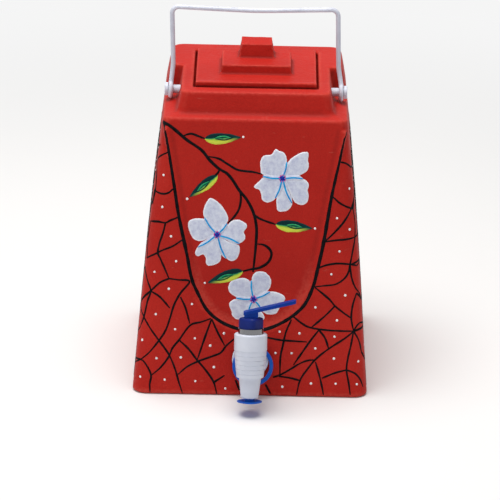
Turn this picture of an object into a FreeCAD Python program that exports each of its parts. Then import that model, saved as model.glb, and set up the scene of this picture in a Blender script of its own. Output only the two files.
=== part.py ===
import FreeCAD, Part
import math
import os
import Sketcher

from FreeCAD import Placement, Rotation, Vector

# Clay water pot: a square tapering pot with a drop-in lid, a wire bail on two pins
# and a spring-closed lever tap through its front wall.
# Frame: +Z up, origin on the floor under the middle of the base, front towards -Y.

os.makedirs("parts", exist_ok=True)
doc = FreeCAD.newDocument("ClayWaterPot")

# Driving dimensions, in millimetres and degrees.
dimensions = {
    # Pot
    "base_width": 216,
    "base_depth": 218,
    "shoulder_width": 167,
    "shoulder_front": 84,
    "shoulder_height": 256.5,
    "shoulder_rise": 3.5,
    "neck_height": 19.2,
    "rim_back": 72,
    "pot_wall": 10,
    "pot_floor": 9,
    "corner_radius": 13,
    "foot_radius": 2.5,
    "neck_base_width": 142,
    "neck_base_front": 73,
    "neck_side_taper": 3.5,
    "neck_front_taper": 4,
    "neck_corner_radius": 7,
    "notch_back": 8.5,
    "roof_thickness": 10.5,
    "ledge_width": 8,
    "ledge_thickness": 9,
    # Sunk shield on the front wall
    "shield_relief": 2.5,
    "shield_radius": 58,
    "shield_centre_height": 116,
    "shield_side_angle": 10,
    # Lid
    "lid_side_margin": 12.5,
    "lid_front_margin": 16.5,
    "lid_seat_depth": 8,
    "lid_thickness": 10,
    "lid_gap": 1.6,
    "lid_rim_gap": 1.5,
    "lid_rim_height": 10,
    "lid_rim_wall": 8,
    "lid_edge_radius": 1.2,
    "step_width": 65,
    "step_depth": 43,
    "step_height": 8.2,
    "knob_width": 32.5,
    "knob_depth": 20,
    "knob_height": 12.3,
    "knob_back": 10.5,
    "knob_top_angle": 8,
    "lid_block_taper": 4,
    # Bail and its pins
    "pivot_forward": 26,
    "pivot_drop": 11.7,
    "eye_offset": 8,
    "wire_diameter": 4.3,
    "eye_play": 0.3,
    "bail_reach": 78.2,
    "bail_flare": 2.4,
    "bail_flare_height": 24,
    "bail_flare_radius": 30,
    "bail_bend_radius": 6,
    "bail_sag": 2.6,
    "bail_sag_radius": 480,
    "pin_radius": 3.9,
    "pin_head_radius": 6,
    "pin_head_length": 3,
    "pin_depth": 11,
    "pin_fit": 0.03,
    "eye_side_gap": 0.5,
    # Tap, in its own frame: origin where the barrel's axis meets the shank's
    "tap_height": 35,
    "tap_lean_angle": 12,
    "tap_reach": 44,
    "barrel_radius": 14.9,
    "barrel_top": 31,
    "barrel_seam": 15.8,
    "barrel_foot": 8.8,
    "barrel_taper": 2.6,
    "barrel_edge_radius": 1.4,
    "rib_depth": 0.35,
    "rib_pitch": 4.2,
    "rib_count": 5,
    "nozzle_step": 2.1,
    "nozzle_taper": 2.4,
    "nozzle_tip": 28.1,
    "outlet_radius": 5.4,
    "valve_seat": 9.5,
    "chamber_radius": 8.4,
    "bonnet_ledge": 1.5,
    "bonnet_bore_depth": 12.5,
    "shank_radius": 9.5,
    "shank_bore_radius": 6.2,
    "shank_hole_gap": 0.6,
    "shank_tail": 4,
    "tap_seat_gap": 0.7,
    "inner_seat_gap": 0.4,
    "seat_margin": 0.5,
    "gasket_thickness": 2,
    "gasket_inset": 0.9,
    "flange_radius": 16.7,
    "flange_thickness": 3,
    "nut_flats": 25,
    "nut_height": 7,
    "ring_outer_radius": 18.7,
    "ring_inner_radius": 15.3,
    "ring_thickness": 2.6,
    "ring_swing_angle": 24,
    "collar_radius": 11.5,
    "collar_height": 4.8,
    "bonnet_side": 18.4,
    "bonnet_corner_radius": 4.4,
    "bonnet_top_radius": 2.4,
    "bonnet_height": 9.9,
    "bonnet_turn_angle": 20,
    "bonnet_thread_gap": 0.3,
    "bonnet_hollow_radius": 6.2,
    "bonnet_roof": 5,
    "stem_radius": 2.6,
    "stem_fit": 0.06,
    "spring_collar_radius": 5.4,
    "spring_collar_height": 1.6,
    "spring_collar_level": 10,
    "spring_radius": 4.4,
    "spring_wire": 0.9,
    "spring_turns": 6,
    "washer_thickness": 1,
    "washer_gap": 0.3,
    "oring_thickness": 1.8,
    "plug_radius": 7,
    "plug_height": 7,
    "plug_grip": 4.5,
    "plug_grip_wall": 2,
    "plug_chamfer": 1,
    "plug_band": 3,
    "valve_gap": 0.1,
    "lever_pin_rise": 2.5,
    "stem_head": 1.8,
    "stem_head_chamfer": 0.6,
    "lever_pin_radius": 1.2,
    "lever_pin_gap": 0.05,
    "lever_block_width": 12.6,
    "lever_block_depth": 11,
    "lever_slot_gap": 0.3,
    "lever_press_angle": 20,
    "lever_heel_gap": 0.3,
    "paddle_length": 40.2,
    "paddle_tail": 7,
    "paddle_thickness": 2.8,
    "paddle_width": 12,
    "paddle_angle": 14,
    "paddle_above_pin": 2.8,
    "cap_fit": 0.1,
    "cap_neck_radius": 4.7,
    "cap_insertion": 6,
    "cap_drop": 2.9,
    "cap_disc_radius": 11.3,
    "cap_disc_thickness": 1.5,
}

sheet = doc.addObject("Spreadsheet::Sheet", "Sizes")
for row, (alias, number) in enumerate(dimensions.items(), start=1):
    sheet.set(f"A{row}", alias)
    sheet.set(f"B{row}", str(number))
    sheet.setAlias(f"B{row}", alias)
doc.recompute()


class Size:
    # A number together with the sheet expression that drives it.
    def __init__(self, value, text):
        self.value = value
        self.text = text

    def __add__(self, other):
        other = as_size(other)
        return Size(self.value + other.value, f"({self.text} + {other.text})")

    def __sub__(self, other):
        other = as_size(other)
        return Size(self.value - other.value, f"({self.text} - {other.text})")

    def __mul__(self, other):
        other = as_size(other)
        return Size(self.value * other.value, f"({self.text} * {other.text})")

    def __truediv__(self, other):
        other = as_size(other)
        return Size(self.value / other.value, f"({self.text} / {other.text})")

    def __neg__(self):
        return Size(-self.value, f"(0 - {self.text})")


def as_size(number):
    return number if isinstance(number, Size) else Size(float(number), f"{float(number):.6f}")


def cell(alias):
    return Size(float(sheet.get(alias)), f"Sizes.{alias}")


def cosine(angle):
    return Size(math.cos(math.radians(angle.value)), f"cos({angle.text})")


def sine(angle):
    return Size(math.sin(math.radians(angle.value)), f"sin({angle.text})")


def tangent(angle):
    return Size(math.tan(math.radians(angle.value)), f"tan({angle.text})")


def bind(thing, name, number):
    thing.setExpression(name, as_size(number).text)


zero = as_size(0)


# ---- Sketch and feature helpers ----

def new_body(label):
    body = doc.addObject("PartDesign::Body", label)
    body.Label = label
    return body


def origin_plane(body, role):
    return next(plane for plane in body.Origin.OriginFeatures if plane.Role == role)


def new_sketch(body, name, role="XY_Plane", offset=(0, 0, 0), turn=0):
    # offset is in the plane's own axes and turn is about its own X axis.
    sketch = body.newObject("Sketcher::SketchObject", f"{body.Name}_{name}")
    sketch.AttachmentSupport = (origin_plane(body, role), [""])
    sketch.MapMode = "FlatFace"
    place = [as_size(part) for part in offset]
    turned = as_size(turn)
    base = Vector(*[part.value for part in place])
    sketch.AttachmentOffset = Placement(base, Rotation(Vector(1, 0, 0), turned.value))
    for axis, part in zip("xyz", place):
        if part.value != 0:
            bind(sketch, f"AttachmentOffset.Base.{axis}", part)
    return sketch


def hold_point(sketch, geometry, point, x, y):
    for kind, part in (("DistanceX", x), ("DistanceY", y)):
        index = sketch.addConstraint(Sketcher.Constraint(kind, -1, 1, geometry, point, part.value))
        bind(sketch, f"Constraints[{index}]", part)


def draw_polygon(sketch, corners):
    # Every corner is held by its two distances from the sketch's origin.
    corners = [(as_size(x), as_size(y)) for x, y in corners]
    count = len(corners)
    first = sketch.GeometryCount
    for number in range(count):
        x1, y1 = corners[number]
        x2, y2 = corners[(number + 1) % count]
        start = Vector(x1.value, y1.value, 0)
        end = Vector(x2.value, y2.value, 0)
        sketch.addGeometry(Part.LineSegment(start, end), False)
    for number in range(count):
        joint = Sketcher.Constraint("Coincident", first + number, 2, first + (number + 1) % count, 1)
        sketch.addConstraint(joint)
    for number, (x, y) in enumerate(corners):
        hold_point(sketch, first + number, 1, x, y)


def draw_rectangle(sketch, low_x, low_y, high_x, high_y):
    draw_polygon(sketch, [(low_x, low_y), (high_x, low_y), (high_x, high_y), (low_x, high_y)])


def draw_circle(sketch, radius, centre=(0, 0)):
    radius = as_size(radius)
    x, y = [as_size(part) for part in centre]
    middle = Vector(x.value, y.value, 0)
    index = sketch.addGeometry(Part.Circle(middle, Vector(0, 0, 1), radius.value), False)
    number = sketch.addConstraint(Sketcher.Constraint("Radius", index, radius.value))
    bind(sketch, f"Constraints[{number}]", radius)
    hold_point(sketch, index, 3, x, y)


def finished(body, feature):
    body.Tip = feature
    doc.recompute()
    return feature


def pad(body, name, sketch, length, backwards=False, both_ways=False):
    feature = body.newObject("PartDesign::Pad", f"{body.Name}_{name}")
    feature.Profile = sketch
    bind(feature, "Length", length)
    feature.Reversed = backwards
    feature.Midplane = both_ways
    return finished(body, feature)


def pocket(body, name, sketch, length, backwards=False, both_ways=False):
    feature = body.newObject("PartDesign::Pocket", f"{body.Name}_{name}")
    feature.Profile = sketch
    before = body.Shape.Volume
    bind(feature, "Length", length)
    feature.Reversed = backwards
    feature.Midplane = both_ways
    finished(body, feature)
    if feature.Shape.Volume > before - 0.01:
        raise RuntimeError(f"{name} cuts nothing from {body.Label}")
    return feature


def revolve(body, name, sketch, cut=False):
    kind = "PartDesign::Groove" if cut else "PartDesign::Revolution"
    before = body.Shape.Volume if cut else 0
    feature = body.newObject(kind, f"{body.Name}_{name}")
    feature.Profile = sketch
    feature.ReferenceAxis = (sketch, ["V_Axis"])
    feature.Angle = 360
    finished(body, feature)
    if cut and feature.Shape.Volume > before - 0.01:
        raise RuntimeError(f"{name} cuts nothing from {body.Label}")
    return feature


def wedge(body, name, low, high, low_box, high_box, cut=False):
    # A frustum between two levels. Each box is (low x, high x, low y, high y) at its level.
    kind = "PartDesign::SubtractiveWedge" if cut else "PartDesign::AdditiveWedge"
    feature = body.newObject(kind, f"{body.Name}_{name}")
    feature.AttachmentSupport = (origin_plane(body, "XY_Plane"), [""])
    feature.MapMode = "FlatFace"
    feature.AttachmentOffset = Placement(Vector(), Rotation(Vector(1, 0, 0), 90))
    for prefix, (x0, x1, y0, y1) in (("", low_box), ("2", high_box)):
        bind(feature, f"X{prefix}min", x0)
        bind(feature, f"X{prefix}max", x1)
        bind(feature, f"Z{prefix}min", -y1)
        bind(feature, f"Z{prefix}max", -y0)
    bind(feature, "Ymin", low)
    bind(feature, "Ymax", high)
    return finished(body, feature)


def edges_where(feature, wanted):
    names = [f"Edge{number + 1}" for number, edge in enumerate(feature.Shape.Edges) if wanted(edge)]
    if not names:
        raise RuntimeError(f"no edge found on {feature.Label}")
    return names


def fillet(body, name, radius, wanted):
    base = body.Tip
    feature = body.newObject("PartDesign::Fillet", f"{body.Name}_{name}")
    feature.Base = (base, edges_where(base, wanted))
    bind(feature, "Radius", radius)
    return finished(body, feature)


def ends(edge):
    return edge.Vertexes[0].Point, edge.Vertexes[-1].Point


def at_level(edge, level, slack=0.01):
    return all(abs(vertex.Point.z - level.value) < slack for vertex in edge.Vertexes)


def is_ring(edge, radius, level):
    curve = edge.Curve
    return (isinstance(curve, Part.Circle) and abs(curve.Radius - radius.value) < 0.01
            and abs(curve.Center.z - level.value) < 0.01)


# ---- Places that several pieces share ----

# How far a cut runs past the piece, and how far joined features reach into each other.
beyond = cell("pot_wall") * 2
overlap = cell("pot_wall") / 10

half_base = cell("base_width") / 2
base_front = cell("base_depth") / 2
shoulder_level = cell("shoulder_height")
neck_level = shoulder_level + cell("shoulder_rise")
rim_level = neck_level + cell("neck_height")
roof_level = shoulder_level - cell("roof_thickness")
side_slope = (half_base - cell("shoulder_width") / 2) / shoulder_level
front_slope = (base_front - cell("shoulder_front")) / shoulder_level
back_slope = (base_front - cell("rim_back")) / rim_level
neck_base_side = cell("neck_base_width") / 2
neck_top_side = neck_base_side - cell("neck_side_taper")
neck_top_front = cell("neck_base_front") - cell("neck_front_taper")
lid_seat_level = rim_level - cell("lid_seat_depth")
mouth_level = lid_seat_level - cell("ledge_thickness")
lid_width = (neck_top_side - cell("lid_side_margin")) * 2
lid_depth = (neck_top_front - cell("lid_front_margin")) * 2
mouth_width = lid_width - cell("ledge_width") * 2
mouth_depth = lid_depth - cell("ledge_width") * 2


def half_width_at(level):
    return half_base - side_slope * level


def front_at(level):
    return -(base_front - front_slope * level)


def back_at(level):
    return base_front - back_slope * level


def neck_side_at(level):
    return neck_top_side + cell("neck_side_taper") / cell("neck_height") * (rim_level - level)


pivot_y = -cell("pivot_forward")
pivot_level = rim_level - cell("pivot_drop")
wire_radius = cell("wire_diameter") / 2
eye_plane = neck_side_at(pivot_level) + cell("eye_offset")
socket_end = neck_side_at(pivot_level) - cell("pin_depth")

# The tap leans back more than the wall, so each seat is cut square to its shank.
lean = cell("tap_lean_angle")
nut_sides = 6
nut_side_angle = as_size(360) / nut_sides
nut_corner = cell("nut_flats") / 2 / cosine(nut_side_angle / 2)
tap_seat_radius = cell("flange_radius") + cell("tap_seat_gap")
inner_seat_radius = nut_corner + cell("inner_seat_gap")
seat_tangent = (tangent(lean) - front_slope) / (front_slope * tangent(lean) + 1)
outer_seat_depth = tap_seat_radius * seat_tangent + cell("seat_margin")
wall_along_shank = cell("pot_wall") / (cosine(lean) + front_slope * sine(lean))
inner_seat_depth = inner_seat_radius * seat_tangent + cell("seat_margin")
inner_seat = cell("tap_reach") - outer_seat_depth + wall_along_shank - inner_seat_depth
hole_y = front_at(cell("tap_height"))
tap_out = cell("tap_reach") - outer_seat_depth
tap_origin = Vector(0, (hole_y - tap_out * cosine(lean)).value,
                    (cell("tap_height") + tap_out * sine(lean)).value)
tap_frame = Placement(tap_origin, Rotation(Vector(1, 0, 0), -lean.value))


def on_shank(distance, turn=0):
    # Local Z runs inwards along the shank, starting at a distance from the barrel's axis.
    into_wall = Placement(Vector(0, distance.value, 0), Rotation(Vector(1, 0, 0), -90))
    turned = Placement(Vector(), Rotation(Vector(0, 0, 1), turn))
    return tap_frame * into_wall * turned


# ---- Pot ----

def pot_section(level, inset=0):
    side = half_width_at(level) - inset
    return (-side, side, front_at(level) + inset, back_at(level) - inset)


def centred_box(width, depth, y=0):
    y = as_size(y)
    return (-width / 2, width / 2, y - depth / 2, y + depth / 2)


def along_wall_corner(edge):
    first, last = ends(edge)
    return abs(first.z - last.z) > shoulder_level.value


def along_neck_corner(edge):
    first, last = ends(edge)
    full_height = abs(abs(first.z - last.z) - cell("neck_height").value) < 0.01
    at_front = max(first.y, last.y) < 0.01 - neck_top_front.value
    at_side = abs(first.x) > neck_top_side.value - 0.01
    inner = abs(first.x) < neck_base_side.value + 0.01
    return full_height and at_front and at_side and inner


def shoulder_cut(neck_base, neck_top, edge):
    # Cut profile, outwards from the neck: its sloping side, then the falling shoulder.
    fall = cell("shoulder_rise") / (edge - neck_base)
    side_lean = (neck_base - neck_top) / cell("neck_height")
    above = rim_level + beyond
    outside = edge + beyond
    return [(neck_top - side_lean * beyond, above), (neck_base, neck_level),
            (outside, shoulder_level - fall * beyond), (outside, above)]


def cut_shoulder(body):
    side = shoulder_cut(neck_base_side, neck_top_side, cell("shoulder_width") / 2)
    front = shoulder_cut(cell("neck_base_front"), neck_top_front, cell("shoulder_front"))
    far = base_front * 2
    sides = new_sketch(body, "ShoulderSides", "XZ_Plane", offset=(0, 0, -cell("notch_back")))
    draw_polygon(sides, side)
    draw_polygon(sides, [(-x, y) for x, y in reversed(side)])
    pocket(body, "SideNotches", sides, far, backwards=True)
    fronts = new_sketch(body, "ShoulderFront", "YZ_Plane")
    draw_polygon(fronts, [(-x, y) for x, y in front])
    pocket(body, "FrontShoulder", fronts, half_base * 4, both_ways=True)


def cut_shield(body):
    # A shallow U on the front wall: a half round at the bottom, then sides that lean out.
    radius = cell("shield_radius")
    middle = cell("shield_centre_height")
    spread = cell("shield_side_angle")
    leave_x = radius * cosine(spread)
    leave_y = middle - radius * sine(spread)
    top_y = rim_level + beyond
    top_x = leave_x + (top_y - leave_y) * tangent(spread)
    angle = math.degrees(math.atan(front_slope.value))
    sketch = new_sketch(body, "Shield", "XZ_Plane", offset=(0, 0, base_front), turn=-angle)
    points = [(leave_x, leave_y), (top_x, top_y), (-top_x, top_y), (-leave_x, leave_y)]
    for (x1, y1), (x2, y2) in zip(points, points[1:]):
        start = Vector(x1.value, y1.value, 0)
        sketch.addGeometry(Part.LineSegment(start, Vector(x2.value, y2.value, 0)), False)
    low = math.radians(-180 + spread.value)
    round_end = Part.Circle(Vector(0, middle.value, 0), Vector(0, 0, 1), radius.value)
    sketch.addGeometry(Part.ArcOfCircle(round_end, low, -math.radians(spread.value)), False)
    for first, second in (((0, 2), (1, 1)), ((1, 2), (2, 1)), ((2, 2), (3, 1)), ((3, 2), (0, 1))):
        sketch.addConstraint(Sketcher.Constraint("Coincident", *first, *second))
    round_radius = sketch.addConstraint(Sketcher.Constraint("Radius", 3, radius.value))
    bind(sketch, f"Constraints[{round_radius}]", radius)
    hold_point(sketch, 0, 1, leave_x, leave_y)
    hold_point(sketch, 0, 2, top_x, top_y)
    hold_point(sketch, 1, 2, -top_x, top_y)
    hold_point(sketch, 2, 2, -leave_x, leave_y)
    pocket(body, "ShieldRelief", sketch, cell("shield_relief"))


def cut_cavity(body):
    wall = cell("pot_wall")
    mouth = centred_box(mouth_width, mouth_depth)
    wedge(body, "Cavity", cell("pot_floor"), roof_level, pot_section(cell("pot_floor"), wall),
          pot_section(roof_level, wall), cut=True)
    wedge(body, "Roof", roof_level, mouth_level, pot_section(roof_level, wall), mouth, cut=True)
    gap = cell("lid_gap")
    recess = centred_box(lid_width + gap * 2, lid_depth + gap * 2)
    for name, box, level in (("Mouth", mouth, mouth_level), ("LidSeat", recess, lid_seat_level)):
        sketch = new_sketch(body, name, offset=(0, 0, rim_level))
        draw_rectangle(sketch, box[0], box[2], box[1], box[3])
        pocket(body, f"{name}Cut", sketch, rim_level - level)


def shank_plane(body, name, along):
    # A sketch square to the shank, at a distance inwards from the wall's outer face.
    y = hole_y + along * cosine(lean)
    z = cell("tap_height") - along * sine(lean)
    return new_sketch(body, name, "XZ_Plane", offset=(0, z, -y), turn=-lean)


def cut_tap_hole(body):
    seat = shank_plane(body, "TapSeat", outer_seat_depth)
    draw_circle(seat, tap_seat_radius)
    pocket(body, "TapSeatCut", seat, cell("pot_wall") * 2, backwards=True)
    hole = shank_plane(body, "TapHole", outer_seat_depth)
    draw_circle(hole, cell("shank_radius") + cell("shank_hole_gap"))
    pocket(body, "TapHoleCut", hole, cell("pot_wall") * 4, both_ways=True)
    inner = shank_plane(body, "InnerSeat", wall_along_shank - inner_seat_depth)
    draw_circle(inner, inner_seat_radius)
    pocket(body, "InnerSeatCut", inner, cell("pot_wall"))


def cut_pin_sockets(body):
    for name, role, side in (("SocketRight", "YZ_Plane", 1), ("SocketLeft", "YZ_Plane", -1)):
        sketch = new_sketch(body, name, role, offset=(0, 0, socket_end * side))
        draw_circle(sketch, cell("pin_radius"), (pivot_y, pivot_level))
        pocket(body, f"{name}Cut", sketch, cell("pin_depth") * 4, backwards=side > 0)


def make_pot():
    body = new_body("pot_body")
    wedge(body, "Walls", zero, rim_level, pot_section(zero), pot_section(rim_level))
    fillet(body, "Corners", cell("corner_radius"), along_wall_corner)
    fillet(body, "Foot", cell("foot_radius"), lambda edge: at_level(edge, zero))
    cut_shoulder(body)
    fillet(body, "NeckCorners", cell("neck_corner_radius"), along_neck_corner)
    cut_shield(body)
    cut_cavity(body)
    cut_tap_hole(body)
    cut_pin_sockets(body)


# ---- Lid: plate, step, knob and locating rim in one fired piece ----

def make_lid():
    body = new_body("lid")
    top = lid_seat_level + cell("lid_thickness")
    plate = new_sketch(body, "Plate", offset=(0, 0, lid_seat_level))
    box = centred_box(lid_width, lid_depth)
    draw_rectangle(plate, box[0], box[2], box[1], box[3])
    pad(body, "PlatePad", plate, cell("lid_thickness"))
    fillet(body, "PlateEdge", cell("lid_edge_radius"), lambda edge: at_level(edge, top))
    taper = cell("lid_block_taper")
    step_top = top + cell("step_height")
    wedge(body, "Step", top, step_top, centred_box(cell("step_width"), cell("step_depth")),
          centred_box(cell("step_width") - taper / 2, cell("step_depth") - taper / 2))
    knob_slope = tangent(cell("knob_top_angle"))
    knob_rise = cell("knob_depth") * knob_slope
    knob_top = step_top + cell("knob_height") + knob_rise
    wedge(body, "Knob", step_top, knob_top,
          centred_box(cell("knob_width"), cell("knob_depth"), cell("knob_back")),
          centred_box(cell("knob_width") - taper, cell("knob_depth") - taper, cell("knob_back")))
    slope = new_sketch(body, "KnobSlope", "YZ_Plane")
    near = cell("knob_back") - cell("knob_depth") / 2
    far = cell("knob_back") + cell("knob_depth") / 2
    draw_polygon(slope, [(near, knob_top - knob_rise), (far, knob_top), (far, knob_top + beyond),
                         (near, knob_top + beyond)])
    pocket(body, "KnobSlopeCut", slope, cell("knob_width") * 2, both_ways=True)
    gap = cell("lid_rim_gap") * 2
    rim_width = mouth_width - gap
    rim_depth = mouth_depth - gap
    wall = cell("lid_rim_wall") * 2
    rim = new_sketch(body, "Rim", offset=(0, 0, lid_seat_level))
    outer = centred_box(rim_width, rim_depth)
    inner = centred_box(rim_width - wall, rim_depth - wall)
    draw_rectangle(rim, outer[0], outer[2], outer[1], outer[3])
    draw_rectangle(rim, inner[0], inner[2], inner[1], inner[3])
    pad(body, "RimPad", rim, cell("lid_rim_height"), backwards=True)


# ---- Bail: one bent wire that ends in two closed eyes ----

eye_ring = cell("pin_radius") + cell("eye_play") + wire_radius


def bail_spine():
    # Half of the wire's centre line, from the right eye up to the middle of the grip.
    half_grip = (eye_plane - cell("bail_flare")).value
    reach = cell("bail_reach").value
    return [Vector(eye_plane.value, 0, eye_ring.value),
            Vector(half_grip, 0, cell("bail_flare_height").value),
            Vector(half_grip, 0, reach), Vector(0, 0, reach - cell("bail_sag").value)]


def rounded_path(points, radii):
    # Straight runs joined by tangent arcs, with one radius for each inner point.
    edges = []
    start = points[0]
    for before, corner, after, radius in zip(points, points[1:], points[2:], radii):
        back = (before - corner).normalize()
        ahead = (after - corner).normalize()
        half_turn = back.getAngle(ahead) / 2
        reach = radius / math.tan(half_turn)
        middle = (back + ahead).normalize()
        arc_middle = corner + middle * (radius / math.sin(half_turn) - radius)
        arc = Part.Arc(corner + back * reach, arc_middle, corner + ahead * reach).toShape()
        edges.append(Part.makeLine(start, corner + back * reach))
        edges.append(arc)
        start = corner + ahead * reach
    edges.append(Part.makeLine(start, points[-1]))
    return Part.Wire(edges)


def make_bail():
    half = bail_spine()
    other_half = [Vector(-point.x, 0, point.z) for point in reversed(half[:-1])]
    side_bends = [cell("bail_flare_radius").value, cell("bail_bend_radius").value]
    bends = side_bends + [cell("bail_sag_radius").value] + side_bends[::-1]
    spine = rounded_path(half + other_half, bends)
    wire = wire_radius.value
    section = Part.Wire(Part.makeCircle(wire, half[0], half[1] - half[0]))
    shape = spine.makePipeShell([section], True, False)
    for side in (1, -1):
        eye_centre = Vector(side * eye_plane.value, 0, 0)
        shape = shape.fuse(Part.makeTorus(eye_ring.value, wire, eye_centre, Vector(1, 0, 0)))
    feature = doc.addObject("Part::Feature", "bail_handle")
    feature.Label = "bail_handle"
    feature.Shape = shape.removeSplitter()
    feature.Placement = Placement(Vector(0, pivot_y.value, pivot_level.value), Rotation())


# ---- Bail pins: plastic rivets set into the neck ----

def make_pin(label, side):
    # Local Z runs outwards from the bottom of the socket.
    body = new_body(label)
    shank = eye_plane + wire_radius + cell("eye_side_gap") - socket_end
    head_end = shank + cell("pin_head_length")
    radius = cell("pin_radius") - cell("pin_fit")
    sketch = new_sketch(body, "Profile", "XZ_Plane")
    draw_polygon(sketch, [(zero, zero), (radius, zero), (radius, shank),
                          (cell("pin_head_radius"), shank), (cell("pin_head_radius"), head_end),
                          (zero, head_end)])
    revolve(body, "Turned", sketch)
    fillet(body, "HeadEdge", cell("pin_head_length") / 4,
           lambda edge: is_ring(edge, cell("pin_head_radius"), head_end))
    start = Vector(side * socket_end.value, pivot_y.value, pivot_level.value)
    body.Placement = Placement(start, Rotation(Vector(0, 1, 0), 90 * side))


# ---- Tap ----

def turned_piece(label, profile, place=tap_frame):
    # A piece made by turning a profile of (radius, level) points about its local Z.
    body = new_body(label)
    sketch = new_sketch(body, "Profile", "XZ_Plane")
    draw_polygon(sketch, profile)
    revolve(body, "Turned", sketch)
    body.Placement = place
    return body


def ring_piece(label, inner, outer, low, thickness, place):
    high = low + thickness
    return turned_piece(label, [(inner, low), (outer, low), (outer, high), (inner, high)], place)


barrel_foot_radius = cell("barrel_radius") - cell("barrel_taper")
nozzle_radius = barrel_foot_radius - cell("nozzle_step")
nozzle_tip_radius = nozzle_radius - cell("nozzle_taper")
bonnet_bore_radius = cell("chamber_radius") + cell("bonnet_ledge")
insert_radius = bonnet_bore_radius - cell("bonnet_thread_gap")


def barrel_radius_at(level):
    # The ribbed lower half narrows from the seam to the foot.
    run = (cell("barrel_seam") - level) / (cell("barrel_seam") + cell("barrel_foot"))
    return cell("barrel_radius") - cell("barrel_taper") * run


def barrel_profile():
    points = [(zero, -cell("nozzle_tip")), (nozzle_tip_radius, -cell("nozzle_tip")),
              (nozzle_radius, -cell("barrel_foot")), (barrel_foot_radius, -cell("barrel_foot"))]
    groove = cell("rib_depth")
    for rib in range(int(cell("rib_count").value), 0, -1):
        level = cell("barrel_seam") - cell("rib_pitch") * rib
        points.append((barrel_radius_at(level - groove), level - groove))
        points.append((barrel_radius_at(level) - groove, level))
        points.append((barrel_radius_at(level + groove), level + groove))
    seam = cell("barrel_seam")
    points += [(cell("barrel_radius") - groove, seam), (cell("barrel_radius"), seam + groove),
               (cell("barrel_radius"), cell("barrel_top")), (zero, cell("barrel_top"))]
    return points


def make_tap_body():
    body = turned_piece("tap_body", barrel_profile())
    fillet(body, "TopEdge", cell("barrel_edge_radius"),
           lambda edge: is_ring(edge, cell("barrel_radius"), cell("barrel_top")))
    fillet(body, "TipEdge", cell("barrel_edge_radius"),
           lambda edge: is_ring(edge, nozzle_tip_radius, -cell("nozzle_tip")))
    shank_end = inner_seat + cell("gasket_thickness") + cell("nut_height") + cell("shank_tail")
    shank = new_sketch(body, "Shank", "XZ_Plane")
    draw_circle(shank, cell("shank_radius"))
    pad(body, "ShankPad", shank, shank_end, backwards=True)
    ledge = cell("barrel_top") - cell("bonnet_bore_depth")
    bore = new_sketch(body, "Bore", "XZ_Plane")
    below = -cell("nozzle_tip") - beyond
    above = cell("barrel_top") + beyond
    draw_polygon(bore, [(zero, below), (cell("outlet_radius"), below),
                        (cell("outlet_radius"), -cell("valve_seat")),
                        (cell("chamber_radius"), -cell("valve_seat")),
                        (cell("chamber_radius"), ledge), (bonnet_bore_radius, ledge),
                        (bonnet_bore_radius, above), (zero, above)])
    revolve(body, "BoreCut", bore, cut=True)
    water = new_sketch(body, "Water", "XZ_Plane")
    draw_circle(water, cell("shank_bore_radius"))
    pocket(body, "WaterCut", water, shank_end * 2)


def make_shank_pieces():
    gasket = cell("gasket_thickness")
    bore = cell("shank_radius") + cell("pin_fit")
    flange_start = cell("tap_reach") - gasket - cell("flange_thickness")
    flange = ring_piece("flange_washer", bore, cell("flange_radius"), zero,
                        cell("flange_thickness"), on_shank(flange_start))
    fillet(flange, "OuterEdge", cell("flange_thickness") / 4,
           lambda edge: is_ring(edge, cell("flange_radius"), zero))
    ring_piece("outer_gasket", bore, cell("flange_radius") - cell("gasket_inset"), zero, gasket,
               on_shank(cell("tap_reach") - gasket))
    ring_piece("inner_gasket", bore, nut_corner - cell("gasket_inset"), zero, gasket,
               on_shank(inner_seat))
    nut = new_body("back_nut")
    outline = new_sketch(nut, "Outline")
    turns = [nut_side_angle * (side + 0.5) for side in range(nut_sides)]
    draw_polygon(outline, [(nut_corner * cosine(turn), nut_corner * sine(turn)) for turn in turns])
    draw_circle(outline, bore)
    pad(nut, "NutPad", outline, cell("nut_height"))
    nut.Placement = on_shank(inner_seat + gasket)
    make_hanging_ring(flange_start)


def make_hanging_ring(flange_start):
    # Hangs on the shank by its inner edge, swung off the vertical by ring_swing_angle.
    drop = cell("ring_inner_radius") - cell("shank_radius") - cell("pin_fit")
    side = drop * sine(cell("ring_swing_angle"))
    down = drop * cosine(cell("ring_swing_angle"))
    start = flange_start - cell("ring_thickness") - cell("pin_fit")
    body = new_body("hanging_ring")
    sketch = new_sketch(body, "Outline")
    draw_circle(sketch, cell("ring_outer_radius"), (side, down))
    draw_circle(sketch, cell("ring_inner_radius"), (side, down))
    pad(body, "RingPad", sketch, cell("ring_thickness"))
    body.Placement = on_shank(start)
    fillet(body, "FrontEdge", cell("ring_thickness") / 4, lambda edge: at_level(edge, zero))


bonnet_level = cell("barrel_top") + cell("collar_height")
bonnet_top = bonnet_level + cell("bonnet_height")
hollow_top = bonnet_top - cell("bonnet_roof")
insert_foot = cell("barrel_top") - cell("bonnet_bore_depth") + cell("gasket_thickness")
collar_top = cell("spring_collar_level") + cell("spring_collar_height")
guide_radius = cell("stem_radius") + cell("stem_fit")
lever_pin_level = bonnet_top + cell("lever_pin_rise")
paddle_level = lever_pin_level + cell("paddle_above_pin")
spring_seat = hollow_top - cell("washer_thickness") - cell("pin_fit")


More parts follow.
